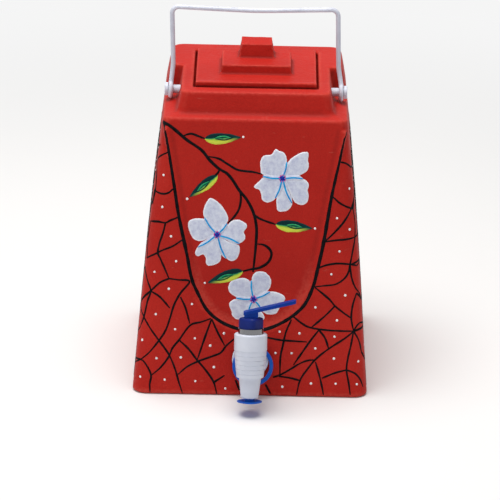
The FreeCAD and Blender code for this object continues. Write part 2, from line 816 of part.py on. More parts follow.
def make_bonnet():
    body = new_body("bonnet_cap")
    block = new_sketch(body, "Block", offset=(0, 0, bonnet_level))
    half = cell("bonnet_side") / 2
    turn = cell("bonnet_turn_angle")
    corners = []
    for x, y in ((-half, -half), (half, -half), (half, half), (-half, half)):
        corners.append((x * cosine(turn) + y * sine(turn), y * cosine(turn) - x * sine(turn)))
    draw_polygon(block, corners)
    pad(body, "BlockPad", block, cell("bonnet_height"))
    fillet(body, "BlockCorners", cell("bonnet_corner_radius"),
           lambda edge: abs(ends(edge)[0].z - ends(edge)[1].z) > overlap.value)
    fillet(body, "BlockTop", cell("bonnet_top_radius"), lambda edge: at_level(edge, bonnet_top))
    insert = new_sketch(body, "Insert", "XZ_Plane")
    draw_polygon(insert, [(zero, insert_foot), (insert_radius, insert_foot),
                          (insert_radius, bonnet_level + overlap), (zero, bonnet_level + overlap)])
    revolve(body, "InsertTurned", insert)
    hollow = new_sketch(body, "Hollow", "XZ_Plane")
    oring_room = cell("oring_thickness") + cell("pin_fit") * 2
    groove_low = hollow_top + cell("bonnet_roof") / 2 - oring_room / 2
    groove_high = groove_low + oring_room
    groove_radius = cell("stem_radius") + cell("oring_thickness")
    below = insert_foot - beyond
    above = bonnet_top + beyond
    draw_polygon(hollow, [(zero, below), (cell("bonnet_hollow_radius"), below),
                          (cell("bonnet_hollow_radius"), hollow_top), (guide_radius, hollow_top),
                          (guide_radius, groove_low), (groove_radius, groove_low),
                          (groove_radius, groove_high), (guide_radius, groove_high),
                          (guide_radius, above), (zero, above)])
    revolve(body, "HollowCut", hollow, cut=True)
    body.Placement = tap_frame
    ring_piece("stem_oring", guide_radius, groove_radius - cell("pin_fit"),
               groove_low + cell("pin_fit"), cell("oring_thickness"), tap_frame)


def make_bonnet_seals():
    gasket_hole = cell("bonnet_hollow_radius")
    ring_piece("bonnet_gasket", gasket_hole, insert_radius,
               insert_foot - cell("gasket_thickness"), cell("gasket_thickness"), tap_frame)
    ring_piece("chrome_collar", insert_radius + cell("pin_fit"),
               cell("collar_radius"), cell("barrel_top"), cell("collar_height"), tap_frame)
    ring_piece("spring_washer", guide_radius, cell("bonnet_hollow_radius") - cell("washer_gap"),
               spring_seat, cell("washer_thickness"), tap_frame)


def make_stem():
    radius = cell("stem_radius")
    collar_low = cell("spring_collar_level")
    foot = -cell("valve_seat") + cell("valve_gap") + cell("plug_height") - cell("plug_grip")
    head = lever_pin_level + cell("stem_head")
    body = turned_piece("valve_stem", [
        (zero, foot), (radius, foot), (radius, collar_low), (cell("spring_collar_radius"), collar_low),
        (cell("spring_collar_radius"), collar_top), (radius, collar_top),
        (radius, head - cell("stem_head_chamfer")), (radius - cell("stem_head_chamfer"), head),
        (zero, head)])
    eye = new_sketch(body, "PinHole", "XZ_Plane")
    draw_circle(eye, cell("lever_pin_radius") + cell("lever_pin_gap"), (zero, lever_pin_level))
    pocket(body, "PinHoleCut", eye, radius * 4, both_ways=True)
    plug_low = -cell("valve_seat") + cell("valve_gap")
    plug_high = plug_low + cell("plug_height")
    grip = radius + cell("pin_fit")
    chamfer = cell("plug_chamfer")
    turned_piece("valve_plug", [
        (zero, plug_low), (cell("plug_radius") - chamfer, plug_low),
        (cell("plug_radius"), plug_low + chamfer), (cell("plug_radius"), plug_low + cell("plug_band")),
        (radius + cell("plug_grip_wall"), plug_high), (grip, plug_high),
        (grip, foot - cell("pin_fit")), (zero, foot - cell("pin_fit"))])


def make_spring():
    # An open coil between the stem's collar and the washer under the bonnet's roof, bent
    # from short mitred runs whose corners stand just outside the coil's mean radius.
    wire = cell("spring_wire").value / 2
    slack = cell("pin_fit").value
    low = collar_top.value + wire + slack
    high = spring_seat.value - wire - slack
    runs_per_turn = 16
    run_angle = 2 * math.pi / runs_per_turn
    corner_radius = cell("spring_radius").value / math.cos(run_angle / 2)
    runs = int(cell("spring_turns").value) * runs_per_turn
    corners = []
    for run in range(runs + 1):
        angle = run * run_angle
        corners.append(Vector(corner_radius * math.cos(angle), corner_radius * math.sin(angle),
                              low + (high - low) * run / runs))
    section = Part.Wire(Part.makeCircle(wire, corners[0], corners[1] - corners[0]))
    mitred = 1
    feature = doc.addObject("Part::Feature", "valve_spring")
    feature.Label = "valve_spring"
    feature.Shape = Part.makePolygon(corners).makePipeShell([section], True, False, mitred)
    feature.Placement = tap_frame


def make_lever():
    # Local X is along the paddle, and the pin runs along local Y.
    body = new_body("lever")
    half_block = cell("lever_block_width") / 2
    slope = tangent(cell("paddle_angle"))
    block_low = bonnet_top + cell("lever_heel_gap")
    thickness = cell("paddle_thickness") / cosine(cell("paddle_angle"))

    def underside(x):
        return paddle_level - thickness / 2 + x * slope

    outline = new_sketch(body, "Side", "XZ_Plane")
    tail = -cell("paddle_tail")
    length = cell("paddle_length")
    draw_polygon(outline, [(tail, underside(tail)), (length, underside(length)),
                           (length, underside(length) + thickness),
                           (tail, underside(tail) + thickness)])
    pad(body, "Paddle", outline, cell("paddle_width"), both_ways=True)
    fillet(body, "PaddleEnds", cell("paddle_width") / 4,
           lambda edge: abs(ends(edge)[0].y - ends(edge)[1].y) < 0.01
           and abs((ends(edge)[0] - ends(edge)[1]).Length - thickness.value) < 0.01)
    block = new_sketch(body, "BlockSide", "XZ_Plane")
    draw_polygon(block, [(-half_block, block_low), (half_block, block_low),
                         (half_block, underside(half_block) + thickness / 2),
                         (-half_block, underside(-half_block) + thickness / 2)])
    pad(body, "Block", block, cell("lever_block_depth"), both_ways=True)
    # The slot clears the stem, seen from the lever, when the lever is pressed right down.
    press = cell("lever_press_angle")
    pin_depth = lever_pin_level - block_low
    head_corner = cell("stem_radius") - cell("stem_head_chamfer")
    reach = cell("stem_radius") / cosine(press) + pin_depth * tangent(press) + cell("lever_slot_gap")
    rise = cell("stem_head") * cosine(press) + head_corner * sine(press) + cell("lever_slot_gap")
    slot = new_sketch(body, "Slot", offset=(0, 0, block_low))
    side = cell("stem_radius") + cell("lever_slot_gap")
    draw_rectangle(slot, -reach, -side, reach, side)
    pocket(body, "SlotCut", slot, pin_depth + rise, backwards=True)
    hole = new_sketch(body, "PinHole", "XZ_Plane")
    draw_circle(hole, cell("lever_pin_radius") + cell("pin_fit"), (zero, lever_pin_level))
    pocket(body, "PinHoleCut", hole, cell("lever_block_depth") * 2, both_ways=True)
    body.Placement = tap_frame
    pin = new_body("lever_pin")
    rod = new_sketch(pin, "Rod", "XZ_Plane")
    draw_circle(rod, cell("lever_pin_radius"), (zero, lever_pin_level))
    pad(pin, "RodPad", rod, cell("lever_block_depth"), both_ways=True)
    pin.Placement = tap_frame


def make_spout_cap():
    tip = -cell("nozzle_tip")
    disc_top = tip - cell("cap_drop")
    disc_low = disc_top - cell("cap_disc_thickness")
    edge = cell("cap_disc_thickness") / 2
    plug = cell("outlet_radius") - cell("cap_fit")
    turned_piece("spout_cap", [
        (zero, disc_low), (cell("cap_disc_radius") - cell("cap_disc_thickness") * 2, disc_low),
        (cell("cap_disc_radius"), disc_low + edge), (cell("cap_disc_radius"), disc_top),
        (cell("cap_neck_radius"), disc_top), (cell("cap_neck_radius"), tip), (plug, tip),
        (plug, tip + cell("cap_insertion")), (zero, tip + cell("cap_insertion"))])


make_pot()
make_lid()
make_bail()
make_pin("pivot_pin_right", 1)
make_pin("pivot_pin_left", -1)
make_tap_body()
make_shank_pieces()
make_bonnet()
make_bonnet_seals()
make_stem()
make_spring()
make_lever()
make_spout_cap()
doc.recompute()

# ---- Check every object, then write each sub-part ----

for thing in doc.Objects:
    if "Invalid" in thing.State or "Error" in thing.State:
        raise RuntimeError(f"{thing.Name} failed to build: {thing.State}")

for thing in doc.Objects:
    loose_feature = thing.TypeId == "Part::Feature"
    if thing.TypeId != "PartDesign::Body" and not loose_feature:
        continue
    shape = thing.Shape
    if shape.isNull() or not shape.isValid() or not shape.Solids:
        raise RuntimeError(f"{thing.Label} has no valid solid")
    shape.exportStep(f"parts/{thing.Label}.step")
    print(f"{thing.Label}: {len(shape.Solids)} solid, {shape.Volume:.1f} mm3")
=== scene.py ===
import math
import random

import bmesh
import bpy
from mathutils import Matrix, Vector, noise
from mathutils.bvhtree import BVHTree


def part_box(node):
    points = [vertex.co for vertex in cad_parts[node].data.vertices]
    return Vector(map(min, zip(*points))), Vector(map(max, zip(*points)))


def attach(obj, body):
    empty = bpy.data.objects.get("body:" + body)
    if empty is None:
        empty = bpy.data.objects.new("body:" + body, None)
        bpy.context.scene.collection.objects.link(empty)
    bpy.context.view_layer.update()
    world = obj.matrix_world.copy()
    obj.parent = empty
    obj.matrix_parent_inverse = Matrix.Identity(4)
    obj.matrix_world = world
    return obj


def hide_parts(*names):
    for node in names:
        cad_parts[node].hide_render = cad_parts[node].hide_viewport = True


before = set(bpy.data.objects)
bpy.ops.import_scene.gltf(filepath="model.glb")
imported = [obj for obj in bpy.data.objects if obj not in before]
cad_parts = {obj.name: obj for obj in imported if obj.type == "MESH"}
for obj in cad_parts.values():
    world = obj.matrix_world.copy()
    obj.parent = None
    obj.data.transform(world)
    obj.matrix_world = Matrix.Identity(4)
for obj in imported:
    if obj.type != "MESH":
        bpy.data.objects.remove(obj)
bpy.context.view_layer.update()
scene = bpy.context.scene
mm = 0.001

print("stage: camera and light")

# The pixels below are in a square frame of this many pixels.
framePixels = 500

cameraView = {
    "aim": (0, 0, 150 * mm),  # a point on the pot's axis
    "aimPixel": (253.6, 202.4),  # where that point stands in the frame
    "distance": 3.5,
    "elevation": 19.4,
    "roll": 1.2,
    "focalPixels": 3763,
    "sensor": 36,
}


def cameraAxes():
    lift = math.radians(cameraView["elevation"])
    roll = math.radians(cameraView["roll"])
    toCamera = Vector((0, -math.cos(lift), math.sin(lift)))
    level = Vector((1, 0, 0))
    upright = toCamera.cross(level)
    right = level * math.cos(roll) + upright * math.sin(roll)
    up = upright * math.cos(roll) - level * math.sin(roll)
    return right, up, toCamera


cameraRight, cameraUp, toCamera = cameraAxes()
cameraPlace = Vector(cameraView["aim"]) + toCamera * cameraView["distance"]


def pixelRay(pixel):
    # The direction from the camera through a pixel of the frame.
    across = (pixel[0] - cameraView["aimPixel"][0]) / cameraView["focalPixels"]
    down = (pixel[1] - cameraView["aimPixel"][1]) / cameraView["focalPixels"]
    return (cameraRight * across - cameraUp * down - toCamera).normalized()


def addCamera():
    data = bpy.data.cameras.new("camera")
    data.sensor_width = cameraView["sensor"]
    data.lens = cameraView["focalPixels"] / framePixels * cameraView["sensor"]
    camera = bpy.data.objects.new("camera", data)
    scene.collection.objects.link(camera)
    forward = pixelRay((framePixels / 2, framePixels / 2))
    side = forward.cross(cameraUp).normalized()
    turn = Matrix((side, side.cross(forward), -forward)).transposed()
    camera.matrix_world = Matrix.Translation(cameraPlace) @ turn.to_4x4()
    scene.camera = camera


addCamera()
scene.view_settings.view_transform = "Standard"

studio = {
    "backdrop": (0.915, 0.915, 0.915),  # what the camera sees behind the pot
    "fill": 0.34,  # even light from all round
    "lampColour": (1.0, 0.985, 0.965),
    "lamps": {
        "overhead": {"place": (-0.20, -0.10, 2.0), "size": 1.6, "power": 42},
        "frontLeft": {"place": (-1.5, -2.1, 1.1), "size": 1.2, "power": 5.4},
    },
    "floorSize": 14.0,
    "floorColour": (0.84, 0.84, 0.84),
    "floorFades": (0.45, 1.15),  # from this far out the floor turns into the backdrop
}


def fillIn(tree, node, inputs):
    # An input takes the output of another node or a plain value.
    for name, value in dict(inputs).items():
        socket = node.inputs[name]
        if isinstance(value, bpy.types.NodeSocket):
            tree.links.new(value, socket)
        else:
            socket.default_value = (*value, 1) if socket.type == "RGBA" else value


def addNode(tree, kind, inputs=(), **settings):
    node = tree.nodes.new("ShaderNode" + kind)
    for name, value in settings.items():
        setattr(node, name, value)
    fillIn(tree, node, inputs)
    return node


def calculated(tree, operation, *values):
    return addNode(tree, "Math", enumerate(values), operation=operation).outputs[0]


def seenDirectly(tree):
    # 1 for what the camera, a mirror or glass sees, 0 for what only lights other things.
    rays = addNode(tree, "LightPath").outputs
    total = rays["Is Camera Ray"]
    for ray in ("Is Glossy Ray", "Is Transmission Ray"):
        total = calculated(tree, "MAXIMUM", total, rays[ray])
    return total


def addStudio():
    world = bpy.data.worlds.new("studio")
    scene.world = world
    world.use_nodes = True
    tree = world.node_tree
    tree.nodes.clear()
    fill = addNode(tree, "Background", {"Color": (1, 1, 1), "Strength": studio["fill"]})
    shown = addNode(tree, "Background", {"Color": studio["backdrop"]})
    mix = addNode(tree, "MixShader",
                  {0: seenDirectly(tree), 1: fill.outputs[0], 2: shown.outputs[0]})
    addNode(tree, "OutputWorld", {"Surface": mix.outputs[0]})
    for name, lamp in studio["lamps"].items():
        data = bpy.data.lights.new(name, "AREA")
        data.shape = "DISK"
        data.size = lamp["size"]
        data.energy = lamp["power"]
        data.color = studio["lampColour"]
        light = bpy.data.objects.new(name, data)
        scene.collection.objects.link(light)
        light.location = lamp["place"]
        aim = Vector(cameraView["aim"]) - Vector(lamp["place"])
        light.rotation_euler = aim.to_track_quat("-Z", "Y").to_euler()


addStudio()
print("stage: materials")


def newMaterial(name, roughness, metallic=0.0, gloss=0.5):
    material = bpy.data.materials.new(name)
    material.use_nodes = True
    tree = material.node_tree
    shader = tree.nodes["Principled BSDF"]
    fillIn(tree, shader, {"Roughness": roughness, "Metallic": metallic, "Specular IOR Level": gloss})
    return material, tree, shader


def objectPlace(tree):
    return addNode(tree, "TexCoord").outputs["Object"]


def stretched(tree, place, scale):
    return addNode(tree, "Mapping", {"Scale": scale, "Vector": place}).outputs["Vector"]


def attribute(tree, name):
    return addNode(tree, "Attribute", attribute_name=name).outputs["Fac"]


def noiseField(tree, place, scale, detail=4.0, rough=0.55):
    return addNode(tree, "TexNoise", {
        "Vector": place, "Scale": scale, "Detail": detail, "Roughness": rough}).outputs["Fac"]


def ranged(tree, value, low, high):
    return addNode(tree, "MapRange", {
        "Value": value, "To Min": low, "To Max": high}).outputs["Result"]


def colourRamp(tree, factor, stops):
    # A stop that has one number for its colour is grey.
    ramp = addNode(tree, "ValToRGB", {"Fac": factor})
    elements = ramp.color_ramp.elements
    while len(elements) < len(stops):
        elements.new(0.5)
    for element, (position, colour) in zip(elements, stops):
        element.position = position
        element.color = (*(colour if isinstance(colour, tuple) else (colour,) * 3), 1)
    return ramp.outputs["Color"]


def mixColours(tree, factor, first, second):
    return addNode(tree, "Mix", {0: factor, 6: first, 7: second}, data_type="RGBA").outputs[2]


def addBump(tree, shader, heights, distance):
    # heights are added up, each with its own weight.
    total = 0
    for field, weight in heights:
        total = calculated(tree, "MULTIPLY_ADD", field, weight, total)
    bump = addNode(tree, "Bump", {"Strength": 1.0, "Distance": distance, "Height": total})
    fillIn(tree, shader, {"Normal": bump.outputs["Normal"]})


clayLook = {
    "deep": (0.370, 0.0088, 0.0056),
    "red": (0.450, 0.0140, 0.0086),
    "lit": (0.510, 0.0245, 0.0148),
    "edge": (0.560, 0.0620, 0.0430),  # paint wearing thin over the edges, and a painted highlight there
    "wearAndHighlightShare": 0.6,
    "hollow": (0.120, 0.0060, 0.0050),  # painted shade in the corners and in the gap round the lid
    "scuff": (0.600, 0.1500, 0.1100),
    "scuffs": 0.42,
    "raw": (0.480, 0.200, 0.105),  # unpainted fired clay inside
    "rawDark": (0.340, 0.130, 0.070),
    "roughness": 0.56,
    "gloss": 0.13,
    "patchScale": 9,
    "strokeScale": 160,
    "strokeStretch": (1.0, 1.0, 0.16),  # brushed up and down
    "streaks": 0.22,
    "grainScale": 900,
    "speckle": 0.34,
    "pitScale": 330,
    "scuffScale": 230,
    "scuffStretch": (0.35, 0.35, 1.0),  # rubbed from side to side
    "bump": 0.6 * mm,
}


def paintedClay():
    look = clayLook
    material, tree, shader = newMaterial("redPaintedClay", look["roughness"], gloss=look["gloss"])
    place = objectPlace(tree)
    broad = noiseField(tree, place, look["patchScale"], 3)
    brushed = stretched(tree, place, look["strokeStretch"])
    strokes = noiseField(tree, brushed, look["strokeScale"], 3, 0.6)
    grain = noiseField(tree, place, look["grainScale"], 4, 0.7)
    pits = noiseField(tree, place, look["pitScale"], 2, 0.5)
    red = colourRamp(tree, broad, [(0.30, look["deep"]), (0.52, look["red"]), (0.78, look["lit"])])
    streaked = colourRamp(tree, strokes, [(0.25, look["deep"]), (0.75, look["lit"])])
    red = mixColours(tree, look["streaks"], red, streaked)
    speckled = colourRamp(tree, grain, [(0.34, look["deep"]), (0.66, look["lit"])])
    red = mixColours(tree, look["speckle"], red, speckled)
    # The paint wears thin where the clay stands out, unevenly from pit to pit; the same lighter colour
    # is also a painted highlight on the edges and on the shield's lower slope.
    broken = colourRamp(tree, pits, [(0.30, 0.4), (0.70, 1.3)])
    standsOut = calculated(tree, "MULTIPLY", attribute(tree, "relief"), broken)
    wornAndLit = colourRamp(tree, standsOut, [(0.15, 0), (1.0, look["wearAndHighlightShare"])])
    red = mixColours(tree, wornAndLit, red, look["edge"])
    level = stretched(tree, place, look["scuffStretch"])
    rubbed = noiseField(tree, level, look["scuffScale"], 5, 0.65)
    scuffed = colourRamp(tree, rubbed, [(0.66, 0), (0.80, look["scuffs"])])
    red = mixColours(tree, scuffed, red, look["scuff"])
    # Painted shade in the corners and in the gap round the lid.
    red = mixColours(tree, attribute(tree, "hollow"), red, look["hollow"])
    raw = colourRamp(tree, grain, [(0.30, look["rawDark"]), (0.65, look["raw"])])
    fillIn(tree, shader, {
        "Base Color": mixColours(tree, attribute(tree, "rawClay"), red, raw),
        "Roughness": ranged(tree, strokes, look["roughness"] - 0.08, look["roughness"] + 0.10)})
    addBump(tree, shader, [(grain, 0.25), (pits, 0.6), (strokes, 0.5)], look["bump"])
    return material


# Paint laid on with a brush, moulded plastic and rubber: dark and light patches over an uneven
# surface, whose heights are noise scales with their weights. Each colour gives its dark and
# light patches, its roughness and its gloss.
patchyFinishes = [
    {"patchScale": 240, "lightFrom": 0.65, "heights": [(1400, 1.0)], "bump": 0.1 * mm, "colours": {
        "blackPaint": ((0.0030, 0.0030, 0.0035), (0.008, 0.008, 0.010), 0.65, 0.05),
        "whitePaint": ((0.86, 0.88, 0.90), (0.94, 0.95, 0.95), 0.45, 0.2),
        "veinPaint": ((0.004, 0.260, 0.660), (0.010, 0.420, 0.820), 0.5, 0.1),
        "centrePaint": ((0.010, 0.012, 0.260), (0.024, 0.028, 0.380), 0.5, 0.1),
        "pinkPaint": ((0.500, 0.030, 0.280), (0.640, 0.070, 0.400), 0.42, 0.2),
        "tealPaint": ((0.001, 0.022, 0.026), (0.004, 0.045, 0.040), 0.55, 0.06),
        "leafBright": ((0.010, 0.330, 0.130), (0.060, 0.460, 0.160), 0.55, 0.08),
    }},
    {"patchScale": 55, "lightFrom": 0.68, "heights": [(1500, 0.3), (120, 1.0)],
     "bump": 0.12 * mm, "colours": {
        "whitePlastic": ((0.600, 0.635, 0.740), (0.680, 0.710, 0.800), 0.42, 0.35),
        "bluePlastic": ((0.003, 0.032, 0.250), (0.006, 0.044, 0.320), 0.52, 0.1),
        "navyPlastic": ((0.003, 0.012, 0.130), (0.005, 0.020, 0.180), 0.44, 0.16),
        "ringPlastic": ((0.004, 0.080, 0.440), (0.008, 0.105, 0.520), 0.40, 0.2),
        "wireCoat": ((0.560, 0.580, 0.680), (0.680, 0.700, 0.800), 0.38, 0.35),
    }},
    {"patchScale": 55, "lightFrom": 0.68, "heights": [(700, 0.3), (120, 1.0)],
     "bump": 0.12 * mm, "colours": {
        "blackRubber": ((0.012, 0.012, 0.012), (0.022, 0.022, 0.022), 0.75, 0.4),
        "clearSilicone": ((0.66, 0.66, 0.64), (0.74, 0.74, 0.72), 0.40, 0.4),
    }},
]


def patchyFinish(name, look, dark, light, roughness, gloss):
    material, tree, shader = newMaterial(name, roughness, gloss=gloss)
    place = objectPlace(tree)
    patches = noiseField(tree, place, look["patchScale"], 3)
    colour = colourRamp(tree, patches, [(0.35, dark), (look["lightFrom"], light)])
    fillIn(tree, shader, {"Base Color": colour})
    heights = [(noiseField(tree, place, scale, 2), weight) for scale, weight in look["heights"]]
    addBump(tree, shader, heights, look["bump"])
    return material


# Lavender white, thin in the middle of the petal and heaped white along its edge.
petalColours = {
    "middle": [(0.30, (0.480, 0.510, 0.690)), (0.50, (0.620, 0.660, 0.800)),
               (0.70, (0.740, 0.780, 0.880))],
    "rim": (0.840, 0.870, 0.950),
    "patchScale": 210,
    "bump": 0.3 * mm,
}


def petalPaint():
    material, tree, shader = newMaterial("petalPaint", 0.45, gloss=0.2)
    patches = noiseField(tree, objectPlace(tree), petalColours["patchScale"], 4, 0.7)
    middle = colourRamp(tree, patches, petalColours["middle"])
    rim = colourRamp(tree, attribute(tree, "petalEdge"), [(0.35, 0), (0.85, 1)])
    fillIn(tree, shader, {"Base Color": mixColours(tree, rim, middle, petalColours["rim"])})
    addBump(tree, shader, [(patches, 1.0)], petalColours["bump"])
    return material


# Across the leaf, from yellow green on one half to dark teal on the other.
leafColours = {
    "across": [(0.38, (0.640, 0.720, 0.075)), (0.50, (0.260, 0.560, 0.060)),
               (0.58, (0.010, 0.230, 0.120)), (0.68, (0.001, 0.026, 0.030))],
    "tip": (0.004, 0.045, 0.045),
    "streakScale": 420,
    "wobble": 0.22,  # how far the streaks break the line between the halves
    "bump": 0.2 * mm,
}


def leafPaint():
    material, tree, shader = newMaterial("leafPaint", 0.5, gloss=0.08)
    streaks = noiseField(tree, objectPlace(tree), leafColours["streakScale"], 3, 0.7)
    across = calculated(tree, "MULTIPLY_ADD", streaks, leafColours["wobble"],
                        attribute(tree, "leafAcross"))
    colour = colourRamp(tree, across, leafColours["across"])
    darkTip = colourRamp(tree, attribute(tree, "leafAlong"), [(0.62, 0), (0.95, 1)])
    fillIn(tree, shader, {"Base Color": mixColours(tree, darkTip, colour, leafColours["tip"])})
    addBump(tree, shader, [(streaks, 1.0)], leafColours["bump"])
    return material


# Each metal: its colour, its roughness and the scale of its fine lines.
metalLook = {"stretch": (1.0, 1.0, 14.0), "bump": 0.002 * mm}
metalColours = {
    "chromePlate": ((0.22, 0.22, 0.23), 0.16, 60),
    "springSteel": ((0.60, 0.60, 0.60), 0.30, 900),
}


def brightMetal(name, colour, roughness, lineScale):
    material, tree, shader = newMaterial(name, roughness, metallic=1.0)
    lines = noiseField(tree, stretched(tree, objectPlace(tree), metalLook["stretch"]), lineScale, 2)
    fillIn(tree, shader, {
        "Base Color": colour, "Roughness": ranged(tree, lines, roughness * 0.9, roughness * 1.2)})
    addBump(tree, shader, [(lines, 1.0)], metalLook["bump"])
    return material


finishes = {"redClay": paintedClay(), "petalWhite": petalPaint(), "leafGreen": leafPaint()}
for look in patchyFinishes:
    for name, values in look["colours"].items():
        finishes[name] = patchyFinish(name, look, *values)
for name, values in metalColours.items():
    finishes[name] = brightMetal(name, *values)


def meshObject(name, bm):
    mesh = bpy.data.meshes.new(name)
    bm.to_mesh(mesh)
    bm.free()
    piece = bpy.data.objects.new(name, mesh)
    scene.collection.objects.link(piece)
    return piece


def finishMesh(name, bm, body, finish):
    piece = meshObject(name, bm)
    piece.data.materials.append(finishes[finish])
    piece.data.shade_smooth()
    print("  ", name, len(piece.data.polygons), "faces")
    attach(piece, body)
    return piece


def takeModified(piece):
    # What the piece's modifiers make of it. The piece itself goes.
    graph = bpy.context.evaluated_depsgraph_get()
    bm = bmesh.new()
    bm.from_mesh(bpy.data.meshes.new_from_object(piece.evaluated_get(graph), depsgraph=graph))
    bpy.data.objects.remove(piece)
    return bm


def mergedNode(node):
    # A copy of a node's mesh with its loose triangles joined.
    bm = bmesh.new()
    bm.from_mesh(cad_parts[node].data)
    bmesh.ops.remove_doubles(bm, verts=bm.verts, dist=1e-6)
    return bm


def remeshed(node, voxel):
    # A copy of a node's mesh, rebuilt as one even skin of small faces.
    copy = meshObject(node + "Skin", mergedNode(node))
    remesh = copy.modifiers.new("even", "REMESH")
    remesh.mode = "VOXEL"
    remesh.voxel_size = voxel
    return takeModified(copy)


reliefLook = {"rounds": 2, "deepest": 0.7}


def markRelief(bm, reach):
    # Notes how much each point stands out as an edge, and how deep it lies in a corner. The
    # bend is that of the skin after it is eased over a few neighbours.
    relief = bm.verts.layers.float.new("relief")
    hollow = bm.verts.layers.float.new("hollow")
    bm.normal_update()
    around = {v: [e.other_vert(v) for e in v.link_edges] for v in bm.verts}
    bend = {}
    for v, others in around.items():
        middle = sum((other.co for other in others), Vector()) / len(others)
        bend[v] = (v.co - middle).dot(v.normal) / reach
    for _ in range(reliefLook["rounds"]):
        bend = {v: (bend[v] + sum(bend[other] for other in others)) / (1 + len(others))
                for v, others in around.items()}
    # Edges get the lighter colour of wearing paint and painted highlight; corners get painted shade.
    for v, amount in bend.items():
        v[relief] = min(1.0, max(0.0, amount))
        v[hollow] = min(1.0, max(0.0, -amount)) * reliefLook["deepest"]


def thinned(bm, share, keepsDetail, detailWeight):
    # Fewer faces, above all where the detail isn't needed.
    copy = meshObject("thin", bm)
    group = copy.vertex_groups.new(name="loose")
    for detailed, weight in ((False, 1.0), (True, detailWeight)):
        group.add([v.index for v in copy.data.vertices if keepsDetail(v.co) == detailed],
                  weight, "REPLACE")
    decimate = copy.modifiers.new("thin", "DECIMATE")
    decimate.ratio = share
    decimate.vertex_group = "loose"
    decimate.vertex_group_factor = 1.0
    return takeModified(copy)


def soften(bm, verts, rounds, factor=0.5):
    for _ in range(rounds):
        bmesh.ops.smooth_vert(bm, verts=verts, factor=factor,
                              use_axis_x=True, use_axis_y=True, use_axis_z=True)


def strayAt(place, size):
    # A soft random amount from 0 to 1 that changes over about this distance.
    return noise.noise(place / size) * 0.5 + 0.5


potLook = {
    "voxel": 1.6 * mm,
    "kept": 0.42,  # share of the faces left once the inside is thinned
    "detailWeight": 0.05,  # how much of that thinning falls on the outside
    "allOver": 1,  # rounds of smoothing everywhere
    "neckEdges": 1,  # more rounds at the neck and the shoulder
    "wallEdges": 15,  # and on the walls' upright corners
    "neckFrom": 246 * mm,
    "footHeight": 4 * mm,  # up to here the base's edge keeps its shape
    "standHeight": 3 * mm,  # up to here the faces don't stray
    "reliefReach": 0.16 * mm,
    "shieldEdge": 3,  # and a few where the shield's edge slopes in
    "dish": 2.8 * mm,  # how much deeper the shield is towards its lower edge
    "dishSlope": 10 * mm,
    "dishTop": 150 * mm,
    "dishRun": 60 * mm,
    "slopeHighlight": 1.1,  # how much painted highlight its lower slope gets, where it faces up to the light
    "slopeHighlightReach": 1.4,  # how far in that goes, in widths of the slope
    "frontFacing": -0.5,  # what faces the front at least this much belongs to the shield
    "wander": 0.4 * mm,  # how far the handmade faces stray inwards
    "wanderSize": 45 * mm,
    "lidSeat": (60 * mm, 57 * mm, 262 * mm),
    "shield": {"radius": 58 * mm, "centre": 116 * mm, "lean": 10, "relief": 2.5 * mm,
               "slope": 8 * mm, "outer": 1.5 * mm, "wallFront": -108.6 * mm, "wallSlope": 25 / 256.5,
               "behind": -75 * mm, "low": 40 * mm, "high": 250 * mm},
    "wallMiddle": 6.4 * mm,  # past this depth from the outside, the clay is bare
    "paintedDepth": 10 * mm,  # the paint goes this far down into the mouth
    "shoulderFrom": 245 * mm,  # and covers all that lies outside the mouth above this
    # Where the walls end under the shoulder.
    "wallTop": {"side": 83.5 * mm, "front": -84 * mm, "back": 75 * mm, "height": 256.5 * mm},
    "belly": 1.6 * mm,  # how far the side and back walls swell in the middle
    "bellyFrom": 15 * mm,
    "blockLean": 2.6 * mm,  # how far the rear block leans in towards its top
    "blockFront": -5 * mm,
    "bendReach": 12 * mm,  # how deep into the clay those bends go
    "rise": 2.2 * mm,  # how far the top climbs towards the back
    "riseFrom": -32 * mm,
    "riseRun": 95 * mm,
    "riseAbove": 258 * mm,
    "riseBlend": 12 * mm,
}

potLow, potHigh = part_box("pot_body")


def wallsAt(height):
    # The outer faces of the walls at a height: either side, the front and the back.
    top = potLook["wallTop"]
    rise = height / top["height"]
    return (potHigh.x + (top["side"] - potHigh.x) * rise,
            potLow.y + (top["front"] - potLow.y) * rise,
            potHigh.y + (top["back"] - potHigh.y) * rise)


def wallDepth(place):
    # How deep a place lies behind the walls' outer faces.
    side, front, back = wallsAt(place.z)
    return min(side - abs(place.x), place.y - front, back - place.y)


def shieldDistance(place):
    # How far a point of the front wall is outside the shield's edge.
    shield = potLook["shield"]
    lean = math.radians(shield["lean"])
    across = abs(place.x)
    rise = place.z - shield["centre"]
    if math.atan2(rise, across) < -lean:
        return math.hypot(across, rise) - shield["radius"]
    return across * math.cos(lean) - rise * math.sin(lean) - shield["radius"]


def eased(share):
    # From 0 to 1 with a soft start and end.
    share = min(1.0, max(0.0, share))
    return share * share * (3 - 2 * share)


def lowOnShield(place):
    # From 0 in the shield's upper part to 1 in its lower part.
    return eased((potLook["dishTop"] - place.z) / potLook["dishRun"])


def shapeShieldEdge(bm):
    # Inside its outline the sunk shield rises to the wall as a soft slope.
    shield = potLook["shield"]
    nearEdge = []
    for v in bm.verts:
        if (v.co.y > shield["behind"] or not shield["low"] < v.co.z < shield["high"]
                or v.normal.y > potLook["frontFacing"]):
            continue
        inward = -shieldDistance(v.co)
        dished = potLook["dish"] * lowOnShield(v.co) * eased(inward / potLook["dishSlope"])
        if -shield["outer"] < inward < shield["slope"]:
            nearEdge.append(v)
            sunk = eased(inward / shield["slope"]) * shield["relief"]
            v.co.y = shield["wallFront"] + shield["wallSlope"] * v.co.z + sunk
        v.co.y += dished
    soften(bm, nearEdge, potLook["shieldEdge"])


